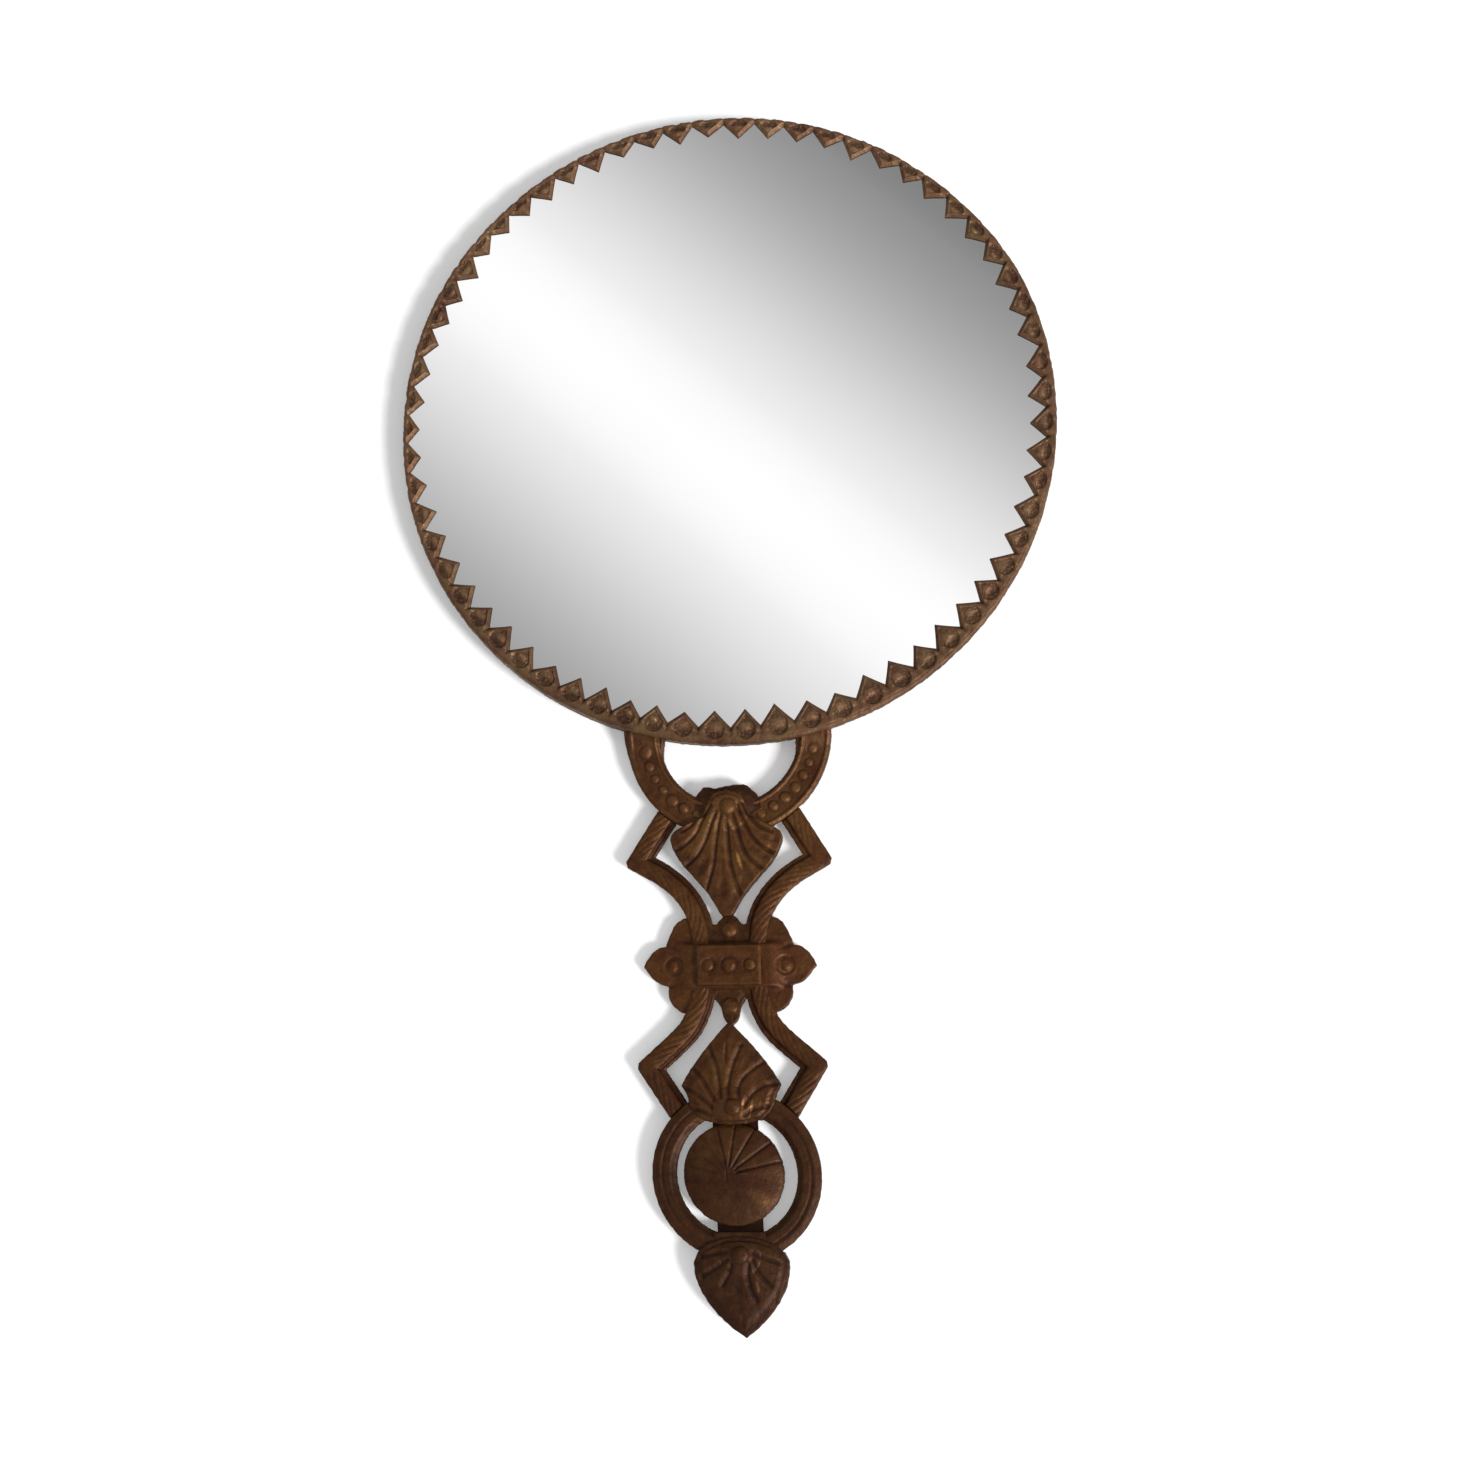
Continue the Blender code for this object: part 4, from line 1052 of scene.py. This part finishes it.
def build_ornaments(material):
    """The fan, the palmette and the terminal leaf."""
    under_yoke = notch_under(YOKE_CENTRE, YOKE_RADII[1] + JOINT_GAP)
    under_ring = notch_under(RING_CENTRE, RING_RADII[1] + JOINT_GAP)
    fan = carved(FAN_GROOVES, FAN_HOLLOWS, FAN_PAINTED_HIGHLIGHTS, 0.29, 5.6, 6.15, 0.35)
    palmette = carved(PALMETTE_GROOVES, PALMETTE_HOLLOWS, PALMETTE_PAINTED_HIGHLIGHTS, 0.18, 4.6, 6.15, 0.35)
    leaf = carved(LEAF_GROOVES, LEAF_HOLLOWS, LEAF_PAINTED_HIGHLIGHTS, 0.14, 4.6, 6.1, 0.9)
    for node, centre, runs, relief, underside, seed, shift in (
            ("fan_shell", FAN_CENTRE, FAN_RUNS, fan, under_yoke, 41.0, -0.4),
            ("palmette", PALMETTE_CENTRE, PALMETTE_RUNS, palmette, under_ring, 43.0, -0.3),
            ("terminal_leaf", LEAF_CENTRE, LEAF_RUNS, leaf, under_ring, 45.0, 0.0)):
        piece = polar_casting(f"{node}_cast", centre, mirrored_outline(runs), relief, underside,
                              material, rays=640, rows=110, seed=seed, shift=shift)
        place(piece, "handle_brass", node)


def circle_outline(centre, radius, points=240):
    """A circle as an outline."""
    a = np.linspace(0.0, 2.0 * math.pi, points, endpoint=False)
    return np.stack([centre[0] + radius * np.cos(a), centre[1] + radius * np.sin(a)], 1)


def block(name, half, near, far, bottom, top, material, seed, wear=0.34):
    """A plain cast block centred on the axis."""
    middle, depth = 0.5 * (near + far), 0.5 * abs(near - far)

    def at(u, v):
        return half * (2.0 * u - 1.0) + 0.0 * v, middle + depth * v + 0.0 * u

    return strip_casting(name, at, 60, depth, lambda u, v, x, y: (top - 0.05, wear),
                         lambda u, v, x, y: bottom, material, False, rows=14, seed=seed)


def pommel_ring(material):
    """The banded ring, with a groove between its two bands."""
    inner, outer = RING_RADII
    middle, half = 0.5 * (inner + outer), 0.5 * (outer - inner)

    def at(u, v):
        r, a = middle + half * v, 2.0 * math.pi * u
        return RING_CENTRE[0] + r * np.cos(a), RING_CENTRE[1] + r * np.sin(a)

    def bands(u, v, x, y):
        r = gap_from(RING_CENTRE, x, y)
        groove = ridge(r - 17.0, 0.34)
        inner_fall = smoothstep(15.4, inner, r)
        outer_fall = smoothstep(17.6, outer, r)
        top = 4.75 - 0.14 * groove - 0.85 * inner_fall - 0.35 * outer_fall
        # Painted shade: the inner slope, falling to the opening, is toned darker
        worn = 0.42 - 0.06 * groove - 0.10 * inner_fall + 0.05 * outer_fall
        return top, worn

    def underside(u, v, x, y):
        lift = np.degrees(np.arctan2(y - RING_CENTRE[1], np.abs(x)))
        return np.where((lift > 38.0) & (lift < 60.0), LAP_ROOF, FRAME_BOTTOM)

    return strip_casting("pommel_ring_cast", at, 560, half, bands, underside, material, True,
                         rows=40, seed=51.0)


def roundel_relief(x, y, way):
    """A dome with flutes that fan out from a hub left of its middle, clear on the right."""
    hub_x, flute_step = -1.3, 22.0
    r = np.hypot(x, y) / ROUNDEL_RADIUS
    from_hub = np.hypot(x - hub_x, y)
    degrees = np.degrees(np.arctan2(x - hub_x, y))
    fluted = smoothstep(-22.0, -8.0, degrees) * smoothstep(100.0, 84.0, degrees)
    faint = 0.30 * smoothstep(-110.0, -70.0, degrees) * smoothstep(-8.0, -30.0, degrees)
    across = np.mod(degrees / flute_step + 0.5, 1.0) * 2.0 - 1.0
    cut = np.exp(-((1.0 - np.abs(across)) * from_hub * 0.19 / 0.30) ** 2)
    reach_out = smoothstep(1.2, 2.6, from_hub) * smoothstep(1.02, 0.90, r)
    strength = reach_out * np.maximum(fluted, faint)
    crown = 0.16 * np.sqrt(np.clip(1.0 - across ** 2, 0.0, 1.0))
    mark = oval(x, y, (hub_x - 0.3, -0.4), 1.5, 0.22, 0.0)
    top = 3.3 + 2.0 * np.sqrt(np.clip(1.0 - (r * 0.97) ** 2, 0.0, 1.0))
    top = top + strength * (crown - 0.22 * cut) - 0.12 * mark
    # Painted highlight: a soft bright patch on the lower right of the dome, added to its tone
    gloss_and_painted_shine = oval(x, y, (6.2, -5.4), 2.6, 1.5, 60.0)
    worn = 0.46 + strength * (0.04 - 0.20 * cut) - 0.12 * mark + 0.32 * gloss_and_painted_shine
    return top, worn


def build_pommel(material):
    """The pommel ring with its two pads, and the roundel on the bar that crosses it."""
    place(pommel_ring(material), "handle_brass", "pommel_ring")
    for (name, *extent), seed in zip(RING_PADS, (52.0, 53.0)):
        pad = block(name, *extent, PAD_BOTTOM, PAD_TOP, material, seed)
        place(pad, "handle_brass")
    roundel = polar_casting("roundel_cast", RING_CENTRE,
                            circle_outline(RING_CENTRE, ROUNDEL_RADIUS), roundel_relief,
                            lambda x, y: REAR_BOTTOM, material, rays=480, rows=80, seed=55.0,
                            shift=-0.7)
    place(roundel, "handle_brass", "roundel")
    bar = block("roundel_bar", *ROUNDEL_BAR, REAR_BOTTOM, REAR_TOP, material, 56.0, wear=0.25)
    place(bar, "handle_brass")


def stud_shape(node, x, y, radius, highest):
    """The radius of a stud's head, the level that it sits on, and the level of its top."""
    if node.startswith("lobe"):
        seat = float(plate_top(np.array(x), np.array(y - WAIST_CENTRE[1])))
        return 1.5, seat, seat + 0.62
    if node.startswith("cartouche"):
        radius, seat, rise = 0.92 * radius, 5.95, 0.55
    elif node.startswith("bead"):
        radius, seat, rise = 1.9, 3.5, 1.0
    else:
        radius, seat, rise = 2.05, 6.55, 1.15
    return radius, seat, min(seat + rise, highest)


def build_studs(material):
    """The domed rivets and beads, with low hand-finished heads."""
    shank_radius = 0.8
    bends = np.linspace(0.0, 0.5 * math.pi, 14)[:-1]
    studs = sorted(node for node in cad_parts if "rivet" in node or "bead" in node)
    for number, node in enumerate(studs):
        low, high = node_box(node)
        x, y = 0.5 * (low.x + high.x), 0.5 * (low.y + high.y)
        radius, seat, top = stud_shape(node, x, y, 0.5 * (high.x - low.x), high.z)
        base, tail = seat - 0.5, low.z + 0.2
        profile = [(0.5, tail), (1.2, tail + 0.05), (1.35, tail + 0.3),
                   (shank_radius, tail + 0.4), (shank_radius, base), (radius * 1.12, base),
                   (radius * 1.10, seat - 0.05)]
        profile += [(radius * math.cos(b) ** 0.8, seat + (top - seat) * math.sin(b) ** 1.15)
                    for b in bends]
        stud = turned(f"{node}_head", (x, y), profile, 72, material, wear=0.50,
                      roughen=0.16, seed=60.0 + number)
        place(stud, "stud_brass", node)


# -------------------- stage, light and camera

def stage_sheet(name, half, face, material):
    """A square sheet of the stage; face lists its corners, anticlockwise from its front."""
    mesh = bpy.data.meshes.new(name)
    mesh.from_pydata([(-half, -half, 0.0), (half, -half, 0.0), (half, half, 0.0),
                      (-half, half, 0.0)], [], [face])
    sheet = linked(name, mesh, material)
    return sheet


def build_floor():
    """A plain pale floor under the mirror."""
    tree = Shading("floor_paper")
    paper = tree.finish(tree.add("BsdfPrincipled", {
        "Base Color": (0.90, 0.90, 0.90, 1.0), "Roughness": 0.9, "Specular IOR Level": 0.1}))
    stage_sheet("floor", FLOOR_HALF, (0, 1, 2, 3), paper)


def build_reflector():
    """The card above that the glass reflects: white along a diagonal, grey to either side."""
    tree = Shading("reflector_card")
    axes = tree.add("SeparateXYZ", {"Vector": tree.position()})
    turn = math.radians(REFLECTOR_ANGLE)
    along_x = tree.math("MULTIPLY", axes.outputs["X"], math.cos(turn))
    along_y = tree.math("MULTIPLY", axes.outputs["Y"], math.sin(turn))
    distance = tree.math("ADD", along_x, along_y)
    distance = tree.math("SUBTRACT", distance, REFLECTOR_SHIFT)
    away = tree.math("ABSOLUTE", distance)
    fraction = tree.math("DIVIDE", away, REFLECTOR_REACH, clamp=True)
    stops = [(position, (value, value, value)) for position, value in REFLECTOR_STOPS]
    shade = tree.ramp(fraction, stops, "B_SPLINE")
    glow = tree.finish(tree.add("Emission", {"Color": shade, "Strength": REFLECTOR_STRENGTH}))
    card = stage_sheet("reflector", REFLECTOR_HALF, (3, 2, 1, 0), glow)
    card.location = REFLECTOR_PLACE
    card.visible_camera = False
    card.visible_shadow = False


def aimed_light(name, kind, source, power):
    """A light that shines from its source on the middle of the glass."""
    data = bpy.data.lights.new(name, kind)
    data.energy = power
    light = bpy.data.objects.new(name, data)
    light.location = source
    light.rotation_euler = (-Vector(source)).to_track_quat("-Z", "Y").to_euler()
    bpy.context.scene.collection.objects.link(light)
    return data


def build_lights():
    """A soft sun from the right for the shadow, a low fill for highlights, a white surround."""
    sun = aimed_light("sun", "SUN", SUN_FROM, SUN_STRENGTH)
    sun.angle = math.radians(SUN_SOFTNESS)
    fill = aimed_light("highlight", "AREA", HIGHLIGHT_FROM, HIGHLIGHT_POWER)
    fill.shape = "DISK"
    fill.size = HIGHLIGHT_SIZE
    fill.use_shadow = False

    world = bpy.data.worlds.new("surround")
    world.use_nodes = True
    background = world.node_tree.nodes["Background"]
    background.inputs["Color"].default_value = (1.0, 1.0, 1.0, 1.0)
    background.inputs["Strength"].default_value = WORLD_STRENGTH
    bpy.context.scene.world = world
    bpy.context.scene.view_settings.view_transform = "Standard"


def build_camera():
    """The viewpoint: above the handle, looking a little up the mirror."""
    data = bpy.data.cameras.new("camera")
    data.lens = CAMERA_LENS
    data.sensor_width = CAMERA_SENSOR
    data.clip_start = 10.0 * MM
    camera = bpy.data.objects.new("camera", data)
    place_at = Vector(CAMERA_PLACE) * MM
    back = (place_at - Vector(CAMERA_TARGET) * MM).normalized()
    right = Vector((0.0, 1.0, 0.0)).cross(back).normalized()
    up = back.cross(right)
    turn = math.radians(CAMERA_ROLL)
    right, up = (right * math.cos(turn) + up * math.sin(turn),
                 up * math.cos(turn) - right * math.sin(turn))
    camera.matrix_world = Matrix((
        (right.x, up.x, back.x, place_at.x),
        (right.y, up.y, back.y, place_at.y),
        (right.z, up.z, back.z, place_at.z),
        (0.0, 0.0, 0.0, 1.0)))
    bpy.context.scene.collection.objects.link(camera)
    bpy.context.scene.camera = camera


bezel_metal = patina("bezel_patina", BEZEL_TONES, 0.50)
handle_metal = patina("handle_patina", HANDLE_TONES, 0.46)
build_bezel(bezel_metal)
build_glass_and_back(silvered_glass(), board(), bezel_metal)
build_back_screws(bezel_metal)
build_yoke(handle_metal)
build_straps(handle_metal)
build_waist(handle_metal)
build_ornaments(handle_metal)
build_pommel(handle_metal)
build_studs(handle_metal)
build_floor()
build_reflector()
build_lights()
build_camera()
